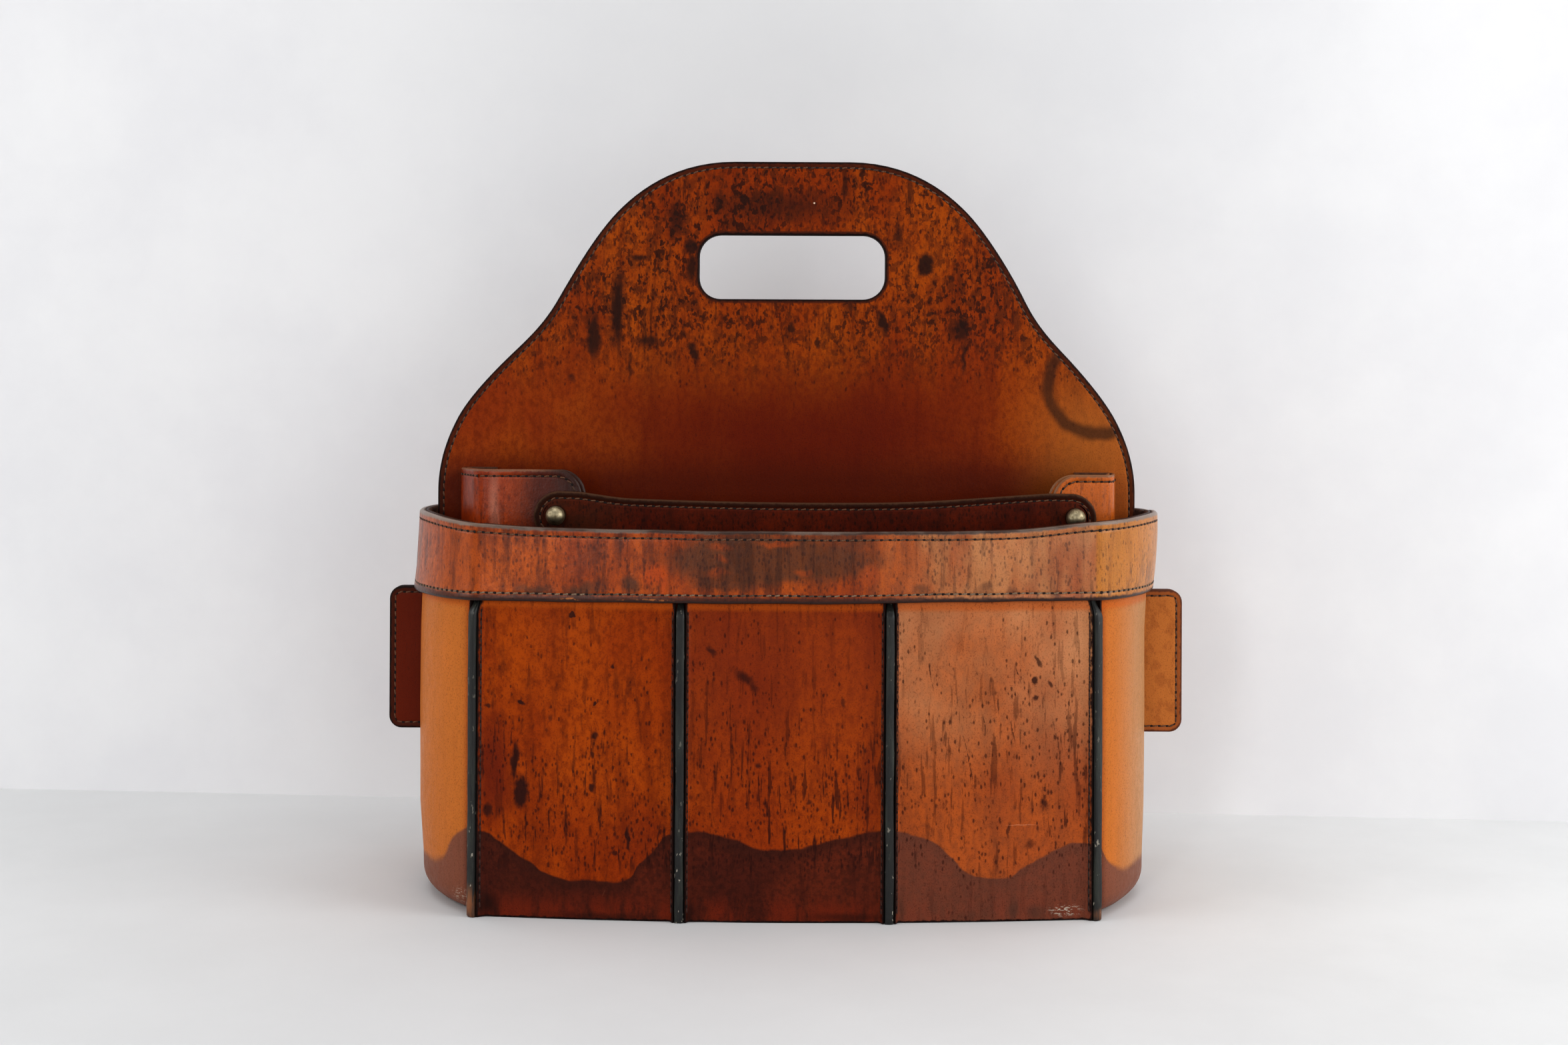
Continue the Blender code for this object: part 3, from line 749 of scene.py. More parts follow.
PANEL_SPOTS = (
    (-128.0, 61, 4.8, 10.0, 4, 0.5, 0.95), (-130.8, 77, 2.8, 11.0, 6, 0.6, 0.9),
    (-103.2, 147.5, 1.4, 1.4, 0, 0.4, 0.9), (-127.7, 104.5, 2.2, 1.6, 30, 0.4, 0.95),
    (-82.9, 123, 1.7, 1.8, 0, 0.6, 0.9), (-91.9, 105, 1.2, 1.2, 0, 0.4, 0.9),
    (-113.4, 98, 2.4, 3.0, 0, 0.8, 0.6), (-91.9, 89, 2.4, 2.7, 0, 0.6, 0.85),
    (-93, 80, 1.7, 2.0, 0, 0.6, 0.8), (-93, 64, 2.0, 2.8, 0, 0.5, 0.9),
    (-75.2, 40, 1.4, 9.0, -3, 0.6, 0.9), (-143.8, 103, 2.4, 1.6, 10, 0.6, 0.8),
    (-144.4, 52, 3.2, 4.4, 0, 0.7, 0.85), (-88.9, 49, 0.9, 9.0, -2, 0.6, 0.75),
    (-81.7, 32.3, 2.8, 1.8, 0, 0.7, 0.8), (-19.5, 118, 3.4, 10.0, -52, 0.9, 0.8),
    (-15, 114, 3.2, 5.0, -30, 0.9, 0.7), (-35.5, 131, 2.2, 5.0, -35, 0.9, 0.8),
    (-12.6, 76, 2.4, 1.8, 30, 0.7, 0.8), (120.9, 116.5, 2.2, 3.2, 0, 0.5, 0.9),
    (121.5, 108.7, 2.2, 1.5, 0, 0.6, 0.85), (122.7, 126, 1.2, 4.2, -25, 0.6, 0.8),
    (128.7, 115, 1.2, 2.4, -30, 0.6, 0.8), (125.7, 57, 3.0, 4.0, 0, 0.7, 0.85),
    (108.4, 44.3, 1.2, 5.5, 0, 0.7, 0.7), (118.5, 37.7, 3.4, 3.0, 0, 0.9, 0.6),
    (111, 4.6, 3.0, 5.0, 0, 0.7, 0.8), (120.3, 4.4, 4.0, 5.0, 0, 0.7, 0.85),
    (28, 106, 1.4, 3.4, -12, 0.6, 0.6), (38, 84, 1.0, 5.0, 0, 0.7, 0.6), (12, 58, 1.6, 1.6, 0, 0.6, 0.7),
)
PANEL_SCRATCHES = (
    (88.5, 78, 0.35, 24, -11, 0.8, 0.85), (70.5, 121, 0.5, 14, -8, 0.8, 0.8),
    (112.8, 119.5, 0.5, 5.5, -17, 0.7, 0.85), (103, 105, 0.6, 7, -2, 0.7, 0.7),
    (125.7, 60, 1.3, 17, 0, 0.9, 0.75), (-136, 84, 0.5, 19, 0, 0.8, 0.6),
    (-132.5, 88, 0.45, 15, 1, 0.8, 0.7), (-125, 70, 0.5, 14, 0, 0.8, 0.6),
    (-72, 60, 0.5, 14, 0, 0.8, 0.5), (110, 92, 0.5, 7, -14, 0.7, 0.7), (96, 96, 0.4, 6, -10, 0.7, 0.7),
    (131, 92, 0.5, 8, -14, 0.7, 0.6), (20, 70, 0.4, 9, -4, 0.8, 0.5), (33, 66, 0.4, 12, -3, 0.8, 0.5),
    (-28, 96, 0.4, 9, 3, 0.8, 0.5),
)
DIVIDER_MIDDLE = ((4, 230, 168, 62, 0, 0.9, 0.9), (60, 215, 100, 16, 0, 0.8, 0.6))
DIVIDER_DOT = ((13.9, 353.8, 0.6, 0.6, 0, 0.4, 1.0),)
DIVIDER_SPOTS = (
    (-50.2, 331, 5.5, 5.5, 0, 0.6, 0.92), (-50, 320, 4.4, 10.0, 0, 0.7, 0.92),
    (-22.2, 355.6, 3.2, 4.0, 0, 0.5, 0.95), (-36.4, 354, 3.8, 9.0, 0, 0.8, 0.85),
    (-58, 345, 6.5, 15, 0, 0.8, 0.8), (-88.5, 299, 5.4, 29, 2, 0.7, 0.92),
    (-100.5, 284, 4.8, 20, 0, 0.7, 0.92), (-76.9, 325, 7.5, 2.4, 5, 0.8, 0.85),
    (-72.2, 281, 12.0, 3.6, 0, 0.8, 0.8), (-48.5, 275.5, 2.8, 8.0, -25, 0.7, 0.9),
    (2.4, 288.6, 2.4, 3.2, 0, 0.6, 0.8), (15.4, 281, 2.0, 4.4, 0, 0.6, 0.8),
    (50, 291, 2.8, 10.0, -16, 0.7, 0.92), (72, 321.8, 4.8, 8.0, 14, 0.5, 0.95),
    (58.2, 338, 3.0, 14, 0, 0.9, 0.7), (90.6, 288, 7.0, 11.0, 0, 0.8, 0.9),
    (92.3, 273, 2.4, 11.0, 0, 0.8, 0.85), (102, 299, 2.0, 2.2, 0, 0.6, 0.8),
    (74.4, 295.9, 3.2, 2.2, 0, 0.6, 0.8), (70.4, 286, 1.6, 1.7, 0, 0.5, 0.85),
    (85.7, 314.6, 2.2, 2.6, -30, 0.6, 0.8), (76, 361.5, 9.0, 2.2, 27, 0.8, 0.9),
    (-82, 268, 2.0, 12, 0, 0.8, 0.6), (-112, 262, 3.0, 3.4, 0, 0.8, 0.6), (-6, 352, 54, 14, 0, 0.9, 0.68),
    (-104, 310, 2.0, 4.0, 0, 0.7, 0.6), (33, 300, 2.2, 5.0, -8, 0.8, 0.6),
)
BAND_SPOTS = (
    (-8, 175, 66, 16, 0, 0.45, 0.88), (-30, 167, 26, 9.0, 4, 0.6, 0.8), (18, 181, 32, 8.0, -5, 0.45, 0.7),
    (-98, 160, 11, 5.0, 0, 0.8, 0.85), (-75, 162, 6, 7.0, 0, 0.8, 0.85),
    (-122, 159, 16, 4.0, 0, 0.9, 0.75), (96, 161, 5, 3.6, 0, 0.9, 0.6), (66, 160, 6, 4.6, 0, 0.9, 0.65),
    (110, 160, 4, 4.0, 0, 0.9, 0.6), (130, 158, 5, 3.0, 0, 0.9, 0.5),
)
BAND_BRIGHT = (
    (-63, 168, 8.0, 6.5, 0, 0.6, 0.95), (-59, 161, 3.0, 6.0, 10, 0.7, 0.8),
    (-4, 183, 15, 2.4, 0, 0.8, 0.6), (-32, 169, 8.0, 3.0, 0, 0.9, 0.6), (-32, 181, 9.0, 2.6, 0, 0.9, 0.5),
    (8, 170, 7, 2.6, 0, 0.8, 0.5), (42, 168, 7.5, 7.0, 30, 0.8, 0.5), (-30, 176, 5, 2.4, 0, 0.9, 0.45),
)


def tide_height(s, x, y):
    """Height of the damp mark. x is turned round on the rear, so that the mark passes the ends unbroken."""
    way = s.math("SUBTRACT", 1.0, s.times(s.math("GREATER_THAN", y, 0.0), 2.0))
    width = TIDE[-1][0] - TIDE[0][0]
    points = [((px - TIDE[0][0]) / width, pz / TIDE_TALLEST) for px, pz in TIDE]
    height = s.curve(s.math("ADD", s.times(s.times(x, way), 1000 / width), 0.5), points)
    return s.times(height, TIDE_TALLEST / 1000)


def damp_colour(s, x, z, depth, broad, end_mask):
    """The leather below the damp mark: dark and mottled, rusty at the foot, paler at the right and ends."""
    stripes = s.noise(s.upright(0.30, 6), 120, 4, 0.62)
    damp = s.mix(s.ease(broad, 0.35, 0.65), rgb(72, 28, 18), rgb(96, 38, 20))
    damp = s.mix(s.ease(stripes, 0.44, 0.66, 0, 0.45), damp, rgb(46, 18, 14))
    damp = s.mix(s.ease(depth, 0.001, 0.009, 0.7, 0.0), damp, rgb(50, 24, 18))
    damp = s.mix(s.ease(s.noise(s.place, 420, 3, 0.6), 0.44, 0.60, 0, 0.45), damp, rgb(36, 16, 12))
    rusty = s.times(s.ease(z, 0.004, 0.016, 0.75, 0.0), s.ease(stripes, 0.40, 0.60, 1.0, 0.0))
    damp = s.mix(rusty, damp, rgb(112, 38, 16))
    damp = s.mix(s.marks(s.ragged(0.004, 120), FOOT_BLACK), damp, rgb(20, 11, 10))
    pale = s.math("MAXIMUM", s.times(end_mask, 0.75), s.ease(x, 0.050, 0.056, 0.0, 0.40))
    return s.mix(pale, damp, rgb(136, 86, 68))


def tub_zones(s, colour):
    """The panels' colours: reddish centre, a rosy painted haze on the right, tan ends with painted haze on
    the right one, the damp mark, and marks from use.
    """
    x, y, z = s.axes()
    broad = s.noise(s.place, 11, 3, 0.6)
    # Painted haze: the reflection of a window at the right on the right panel, stronger upwards, over some
    # wax bloom.
    rosy_haze = s.times(s.ease(x, 0.050, 0.056), s.ease(z, 0.055, 0.150, 0.12, 0.85))
    rosy_haze = s.times(rosy_haze, s.ease(x, 0.1490, 0.1510, 1.0, 0.0), s.ease(broad, 0.30, 0.62, 0.35, 1.0))
    colour = s.mix(rosy_haze, colour, rgb(206, 148, 104))
    centre = s.times(s.ease(x, -0.052, -0.047), s.ease(x, 0.046, 0.052, 1.0, 0.0))
    reddish = s.times(centre, s.ease(z, 0.040, 0.135, 0.15, 0.6))
    colour = s.mix(reddish, colour, rgb(124, 48, 20))
    colour = s.mix(s.marks(s.ragged(0.012, 60), PANEL_SHADE), colour, rgb(104, 32, 10))
    end_mask = s.ease(s.math("ABSOLUTE", x), 0.152, 0.158)
    # The ends are tan; the right one pales towards its middle, which is painted haze.
    tan = s.mix(s.ease(x, 0.158, 0.184), rgb(204, 124, 54), rgb(190, 148, 104))
    colour = s.mix(s.times(end_mask, 0.75), colour, tan)
    colour = s.mix(s.ease(z, 0.1490, 0.1520, 0.0, 0.6), colour, rgb(190, 90, 16))
    spots = s.marks(s.ragged(0.0045, 240), PANEL_SPOTS)
    lines = s.marks(s.ragged(0.0030, 70), PANEL_SCRATCHES)
    lines = s.times(lines, s.ease(s.noise(s.place, 420, 2), 0.40, 0.52))
    colour = s.mix(s.math("MAXIMUM", spots, lines), colour, rgb(44, 18, 14))
    colour = s.mix(s.marks(s.ragged(0.0006, 300), PANEL_NICKS), colour, rgb(222, 150, 112))
    wobble = s.ease(s.noise(s.place, 75, 3, 0.45), 0.25, 0.75, -0.0009, 0.0009)
    depth = s.math("SUBTRACT", s.math("ADD", tide_height(s, x, y), wobble), z)
    soft = s.ease(s.math("ABSOLUTE", x), 0.155, 0.172, 0.0015, 0.0050)
    colour = s.mix(s.ease(depth, 0.0, soft, 0.0, 0.94), colour, damp_colour(s, x, z, depth, broad, end_mask))
    flakes = s.ease(s.noise(s.stretched(1, 1, 2.4, 1), 520, 3), 0.54, 0.60)
    flakes = s.times(flakes, s.marks(s.ragged(0.002), FOOT_WORN))
    return s.mix(flakes, colour, rgb(190, 176, 160))


def tub_crowd(s):
    """Specks crowd towards the foot of each panel, and keep off the ends."""
    x, _, z = s.axes()
    foot = s.times(s.ease(z, 0.030, 0.140, 1.0, 0.36), s.ease(z, 0.018, 0.034, 0.22, 1.0))
    return s.times(foot, s.ease(s.math("ABSOLUTE", x), 0.150, 0.156, 1.0, 0.12))


def divider_zones(s, colour):
    """Dark red in the middle, a painted shadow above the strap, tan with a ring at the lower right, blots in
    the upper half, and two ears, the left one in painted shade.
    """
    x, _, z = s.axes()
    colour = s.mix(s.marks(s.ragged(0.02, 30), DIVIDER_MIDDLE), colour, rgb(97, 22, 1))
    # Painted shadow of the strap and brackets on the divider, just above the strap, weaker at the far right.
    low = s.times(s.ease(z, 0.206, 0.230, 0.85, 0.0), s.ease(x, 0.150, 0.172, 1.0, 0.2))
    colour = s.mix(low, colour, rgb(84, 22, 2))
    tan = s.times(s.ease(x, 0.110, 0.160, 0.0, 0.6), s.ease(z, 0.232, 0.282, 1.0, 0.0))
    colour = s.mix(tan, colour, rgb(172, 104, 44))
    away = s.vector("DISTANCE", s.ragged(0.007, 45), RING_CENTRE)["Value"]
    ring = s.math("ABSOLUTE", s.math("SUBTRACT", away, RING_RADIUS))
    ring = s.times(s.ease(ring, 0.0012, 0.0052, 0.8, 0.0), s.ease(z, 0.276, 0.292, 1.0, 0.0))
    colour = s.mix(ring, colour, rgb(58, 34, 18))
    # blots and drops crowd in the upper half
    crowd = s.times(s.ease(z, 0.246, 0.298), s.ease(s.noise(s.place, 22, 3), 0.32, 0.58, 0.45, 1.0))
    blotch = s.noise(s.upright(0.6, 4.0), 230, 4, 0.62, 0.3)
    drop = s.noise(s.upright(0.7, 8.0), 430, 2, 0.5, 0.2)
    stripe = s.noise(s.upright(0.12, 2.0), 210, 3, 0.6)
    colour = s.mix(s.times(s.ease(blotch, 0.50, 0.58, 0, 0.62), crowd), colour, rgb(72, 32, 11))
    spotted = s.math("MAXIMUM", s.ease(drop, 0.555, 0.61), s.ease(stripe, 0.60, 0.68, 0, 0.8))
    colour = s.mix(s.times(spotted, crowd, 0.85), colour, rgb(48, 20, 10))
    colour = s.mix(s.marks(s.ragged(0.0060, 210), DIVIDER_SPOTS), colour, rgb(42, 21, 14))
    # Painted shade: the left ear darkened where it lies in shade.
    colour = s.mix(s.ease(x, -0.184, -0.182, 0.8, 0.0), colour, rgb(104, 34, 10))
    right_ear = s.mix(s.ease(blotch, 0.48, 0.60, 0, 0.45), rgb(186, 114, 54), rgb(146, 82, 38))
    colour = s.mix(s.ease(x, 0.182, 0.184, 0.0, 0.9), colour, right_ear)
    return s.mix(s.marks(s.place, DIVIDER_DOT), colour, rgb(226, 196, 170))


def burnt_but_at_right_ear(burnt, at_ear):
    """A function that gives an edge's colour, which is paler round the right ear."""
    return lambda s: s.mix(s.ease(s.axes()[0], 0.180, 0.184), burnt, at_ear)


def divider_crowd(s):
    return s.ease(s.axes()[2], 0.240, 0.290, 0.12, 1.0)


def band_zones(s, colour):
    """A rosy painted haze and tan to the right, paler orange at the left that is partly painted sheen, worn
    grey in patches with bright ones between.
    """
    x, _, z = s.axes()
    cloudy = s.ease(s.noise(s.upright(0.3), 60, 3), 0.35, 0.65, 0.35, 1.0)
    # Painted haze from the light at the right, over some wax bloom.
    rosy_haze = s.times(s.ease(x, 0.034, 0.070), s.ease(x, 0.1495, 0.1515, 0.9, 0.0), cloudy)
    colour = s.mix(rosy_haze, colour, rgb(184, 124, 76))
    colour = s.mix(s.ease(x, 0.1495, 0.1515, 0.0, 0.75), colour, rgb(192, 128, 54))
    # Paler orange towards the left corner: partly painted sheen, partly the leather's own colour.
    colour = s.mix(s.times(s.ease(x, -0.165, -0.120, 0.5, 0.0), cloudy), colour, rgb(176, 92, 40))
    stripes = s.noise(s.upright(0.16, 3), 150, 4, 0.62)
    striped = s.times(s.ease(stripes, 0.46, 0.64, 0, 0.65), s.ease(x, 0.0, 0.08, 1.0, 0.32))
    colour = s.mix(striped, colour, rgb(84, 32, 12))
    dark = s.marks(s.ragged(0.012, 80), BAND_SPOTS)
    bright = s.marks(s.ragged(0.008, 110), BAND_BRIGHT)
    colour = s.mix(s.times(bright, 0.7), colour, rgb(184, 74, 12))
    worn = s.times(dark, s.math("SUBTRACT", 1.0, bright))
    colour = s.mix(worn, colour, s.mix(s.ease(stripes, 0.36, 0.64), rgb(94, 54, 30), rgb(68, 38, 22)))
    uneven_z = s.math("ADD", z, s.ease(stripes, 0.3, 0.7, -0.0007, 0.0007))
    colour = s.mix(s.ease(uneven_z, 0.1562, 0.1578, 0.85, 0.0), colour, rgb(56, 28, 20))
    chips = s.ease(s.noise(s.stretched(1, 1, 2.0), 240, 2), 0.50, 0.55)
    return s.mix(s.times(chips, s.marks(s.place, BAND_CHIPS)), colour, rgb(186, 112, 54))


def band_edge(s):
    """Grey along the top, where hands have worn it, and dark along the bottom."""
    x, _, z = s.axes()
    worn = s.noise(s.stretched(0.4, 0.4, 1), 120, 3)
    grey = s.mix(s.ease(worn, 0.4, 0.62), rgb(104, 88, 78), rgb(62, 44, 36))
    grey = s.mix(s.ease(s.math("ABSOLUTE", x), 0.120, 0.165, 0.0, 0.8), grey, rgb(138, 118, 104))
    return s.mix(s.ease(z, 0.166, 0.172), rgb(48, 26, 20), grey)


def bracket_zones(s, colour):
    """The left bracket darkens to its leaf and has a painted highlight on its leg, and the right one is tan.
    """
    x = s.axes()[0]
    for low, high, shade in (
        (-0.146, -0.124, rgb(88, 30, 10)), (-0.124, -0.108, rgb(56, 22, 10)), (0.0, 0.10, rgb(196, 100, 26)),
    ):
        colour = s.mix(s.ease(x, low, high), colour, shade)
    # Painted highlight: the light at the left reflected in the bend of the left bracket's leg.
    painted_sheen = s.marks(s.ragged(0.004, 60), ((-148, 196, 4.5, 30, 0, 0.95, 0.5),))
    return s.mix(painted_sheen, colour, rgb(206, 140, 116))


def bracket_edge(s):
    """Pale along the top of each bracket, dark where the left one's leaf ends."""
    x = s.axes()[0]
    right = s.mix(s.ease(x, 0.0, 0.1), rgb(54, 28, 18), rgb(132, 88, 56))
    return s.mix(s.ease(x, -0.132, -0.112), rgb(124, 80, 56), right)


def strap_zones(s, colour):
    """Redder between the sewn edges and olive towards the ends."""
    x = s.axes()[0]
    dull = s.noise(s.stretched(0.5, 1, 1), 70, 3)
    ends = s.math("MAXIMUM", s.ease(x, -0.110, -0.070, 0.7, 0.0), s.ease(x, 0.120, 0.150, 0.0, 0.4))
    return s.mix(s.times(ends, s.ease(dull, 0.3, 0.6, 0.4, 1.0)), colour, rgb(50, 30, 16))


def black_leather():
    """The welts: black, greenish where rubbed, with pale scratches towards the foot."""
    s = Shader("welt_leather")
    rub = s.noise(s.upright(0.14), 240, 4, 0.65)
    colour = s.mix(s.ease(rub, 0.46, 0.68, 0, 0.7), rgb(14, 15, 13), rgb(46, 50, 42))
    nicks = s.noise(s.stretched(1.4, 1.4, 0.6), 420, 2)
    foot = s.ease(s.axes()[2], 0.012, 0.060, 1.0, 0.22)
    colour = s.mix(s.times(s.ease(nicks, 0.655, 0.69), foot), colour, rgb(176, 168, 152))
    tan = s.marks(s.ragged(0.003, 200), ((-154, 6, 7, 13, 0, 0.8, 0.85), (154, 3, 6, 5, 0, 0.8, 0.7)))
    colour = s.mix(s.times(tan, s.ease(rub, 0.40, 0.58)), colour, rgb(140, 84, 44))
    grain = s.bump(s.noise(s.upright(0.35), 900, 3), 0.0003, 0.5)
    return s.finish(colour, s.ease(rub, 0.3, 0.7, 0.52, 0.34), grain)


def thread_material(name, colour, light):
    s = Shader(name)
    fibre = s.noise(s.upright(1), 2600, 2)
    mixed = s.mix(s.ease(fibre, 0.4, 0.65), colour, light)
    grime = s.noise(s.place, 60, 3)
    mixed = s.mix(s.ease(grime, 0.5, 0.64, 0.0, 0.7), mixed, rgb(44, 30, 22))
    return s.finish(mixed, 0.72, s.bump(fibre, 0.0001, 0.6))


def hole_material():
    s = Shader("stitch_hole")
    speck = s.noise(s.place, 900, 2)
    return s.finish(s.mix(speck, rgb(20, 11, 8), rgb(34, 18, 13)), 0.9)


def metal(name, base, tarnish):
    s = Shader(name)
    cloud = s.noise(s.place, 420, 4, 0.6)
    colour = s.mix(s.ease(cloud, 0.45, 0.7, 0, 0.7), base, tarnish)
    return s.finish(colour, s.ease(cloud, 0.3, 0.7, 0.38, 0.56), s.bump(cloud, 0.0001, 0.1), metallic=1.0)


def board(name, light, dark):
    s = Shader(name)
    fibre = s.noise(s.upright(1), 260, 5, 0.7)
    dust = s.noise(s.place, 18, 3)
    colour = s.mix(s.ease(fibre, 0.35, 0.68), light, dark)
    colour = s.mix(s.ease(dust, 0.5, 0.7, 0, 0.5), colour, rgb(46, 32, 24))
    return s.finish(colour, 0.86, s.bump(fibre, 0.0004, 0.5))


def make_materials():
    burnt = rgb(30, 15, 12)
    mark = rgb(46, 15, 9)
    materials = {
        "tub": leather(
            "tub_leather", rgb(168, 73, 2), rgb(143, 53, 1), rgb(96, 30, 1), mark, 0.7, 0.85,
            burnt, zones=tub_zones, crowd=tub_crowd),
        "band": leather(
            "band_leather", rgb(186, 86, 12), rgb(152, 60, 6), rgb(98, 33, 7), mark, 0.5, 0.4,
            band_edge, (0.9, 2.0), zones=band_zones, shift=2.0, gloss=(0.27, 0.38), shine=0.34),
        "divider": leather(
            "divider_leather", rgb(166, 77, 4), rgb(140, 53, 2), rgb(100, 32, 2), mark, 0.6, 0.3,
            burnt_but_at_right_ear(burnt, rgb(92, 52, 34)), (0.6, 1.5),
            burnt_but_at_right_ear(rgb(70, 30, 15), rgb(150, 84, 42)), divider_zones, divider_crowd, 4.0),
        "bracket": leather(
            "bracket_leather", rgb(180, 74, 14), rgb(154, 56, 10), rgb(108, 34, 8), mark, 0.3, 0.3,
            bracket_edge, (0.6, 1.5), zones=bracket_zones, shift=6.0, gloss=(0.28, 0.40), shine=0.34),
        "strap": leather(
            "strap_leather", rgb(104, 34, 8), rgb(78, 22, 6), rgb(44, 14, 6), rgb(20, 9, 7), 0.5, 0.2,
            rgb(78, 52, 36), (0.4, 1.3), rgb(46, 24, 14), strap_zones, shift=8.0),
        "sole": leather(
            "sole_leather", rgb(110, 62, 34), rgb(88, 46, 26), rgb(60, 32, 20), mark, 0.6, 0.0,
            burnt, shift=9.0),
        "welt": black_leather(),
        "stitch_hole": hole_material(),
        "stud": metal("stud_metal", rgb(172, 160, 132), rgb(98, 84, 60)),
        "stud_screw": metal("screw_metal", rgb(168, 150, 112), rgb(84, 66, 40)),
        "core": board("core_fibre", rgb(96, 62, 40), rgb(58, 36, 24)),
        "board": board("base_fibre", rgb(150, 112, 78), rgb(104, 74, 50)),
    }
    for name, colour, light in (
        ("thread_dark", rgb(82, 50, 32), rgb(118, 84, 58)),
        ("thread_grey", rgb(104, 84, 66), rgb(146, 124, 100)),
        ("thread_seam", rgb(44, 22, 16), rgb(74, 38, 24)),
    ):
        materials[name] = thread_material(name, colour, light)
    return materials


MATERIAL = make_materials()
HALF_TURN = Matrix.Rotation(math.pi, 4, "Z")
OTHER_SIDE = {"left": "right", "right": "left", "center": "center"}


# ---- tub

def seam_fade(z):
    """1 where a seam stands proud, 0 where it dies away under the band."""
    return 1 - smooth(z, BAND_LOW - WELT_FADE, BAND_LOW - 0.0005)


def panel_rows():
    """A panel's rows of points: ("up", height from the floor) or ("down", distance below the rim)."""
    fade = BAND_LOW - WELT_FADE
    heights = [0.0, 0.0002, 0.0007, 0.0015, 0.004] + spread(0.010, fade, 20) + spread(fade, BAND_LOW, 6)[1:]
    return [("up", z) for z in heights + [BAND_LOW + 0.012]] + [("down", step) for step in PANEL_TOP_STEPS]


# A panel's edge, turned out beside a welt: distance from the seam's middle, and how proud it stands
LIP = (
    (0.00245, 0.0016), (0.00255, 0.0020), (0.00290, 0.00225), (0.00330, 0.0022), (0.00365, 0.0018),
    (0.00395, 0.0011), (0.0044, 0.00045), (0.0052, 0.0001), (0.0065, 0.0),
)
# and an end wall's
END_LIP = ((0.0024, 0.0), (0.0027, 0.0003), (0.0034, 0.0004), (0.0048, 0.0001), (0.007, 0.0))


def panel_sheet(path, leans):
    """A panel between two seams. leans holds each seam's angle away from the wall's outward way."""
    clear = LIP[-1][0] + 0.005
    steps = max(8, round((path.length - 2 * clear) / 0.005))
    columns = [("start", t, proud) for t, proud in LIP]
    columns += [("middle", t, 0.0) for t in spread(clear, path.length - clear, steps)]
    columns += [("end", t, proud) for t, proud in reversed(LIP)]

    def along(side, t, out):
        if side == "middle":
            return t
        lean = leans[0] if side == "start" else leans[1]
        moved = t / math.cos(lean) - out * math.tan(lean)
        return moved if side == "start" else path.length - moved

    def place(column, row):
        side, t, proud = column
        s = along(side, t, 0.0)
        point = path.spot(s)[0]
        rim = rim_z(point.x, point.y)
        z = row[1] if row[0] == "up" else rim - row[1]
        bulge = PANEL_BULGE * math.sin(math.pi * min(1, max(0, s / path.length))) * smooth(z, 0.0, 0.03)
        out = proud * seam_fade(z) + bulge * (1 - smooth(z, BAND_LOW - 0.03, BAND_LOW - 0.002))
        if side == "middle":
            out += 0.00025 * wander(point.x, point.y, z, 0.03) * seam_fade(z)
        drop = rounding(z, PANEL_FOOT)
        outer = path.at(along(side, t, out), out - drop, z)
        inner = path.at(along(side, t, -WALL), -WALL - drop * 0.2 + rounding(rim - z, RIM_EDGE), z)
        from_seam = OPEN if side == "middle" else t - LIP[0][0]
        return outer, inner, min(z, rim - z, from_seam, OPEN)

    return sheet(columns, panel_rows(), place)


def corner_lean():
    """Angle between a corner welt and the panel's outward way there."""
    normal = face_spot(CORNER_X)[1]
    return CORNER_WELT_TURN - math.atan2(normal.x, -normal.y)


def make_panels():
    lean = corner_lean()
    seams = (-CORNER_X, -SEAM_X, SEAM_X, CORNER_X)
    leans = (lean, 0.0, 0.0, lean)
    for i, side in enumerate(("left", "center", "right")):
        path = Path(face_line(seams[i], seams[i + 1]))
        for face, transform, name in (("front", None, side), ("rear", HALF_TURN, OTHER_SIDE[side])):
            node = f"{face}_panel_{name}"
            bm = panel_sheet(path, leans[i:i + 2])
            finish_piece(node + "_leather", bm, "tub", [node], transform=transform)


def end_rows():
    """An end wall's rows, from its flange under the sole, round the foot and up to the rim.

    Each holds how its height is measured, how far out and how high its outer side lies, its distance in
    from the cut edge, and the wall's turn there: 0 lying on the floor, a quarter turn standing up.
    """
    quarter = math.pi / 2
    rows = []
    for reach in (FLANGE, FLANGE / 2):
        rows.append(("up", -FOOT_RADIUS - reach, 0.0, HIDDEN_EDGE + FLANGE - reach, 0.0))
    for turn in spread(0.0, quarter, 8):
        out, z = FOOT_RADIUS * (math.sin(turn) - 1), FOOT_RADIUS * (1 - math.cos(turn))
        rows.append(("up", out, z, HIDDEN_EDGE + FLANGE + FOOT_RADIUS * turn, turn))
    heights = (0.020, 0.030, 0.045, 0.062, SLIT[1], 0.095, 0.116, 0.135, SLIT[2], BAND_LOW + 0.004, 0.172)
    rows += [("up", 0.0, z, OPEN, quarter) for z in heights]
    return rows + [("down", 0.0, step, step, quarter) for step in reversed(edge_steps(RIM_EDGE))]


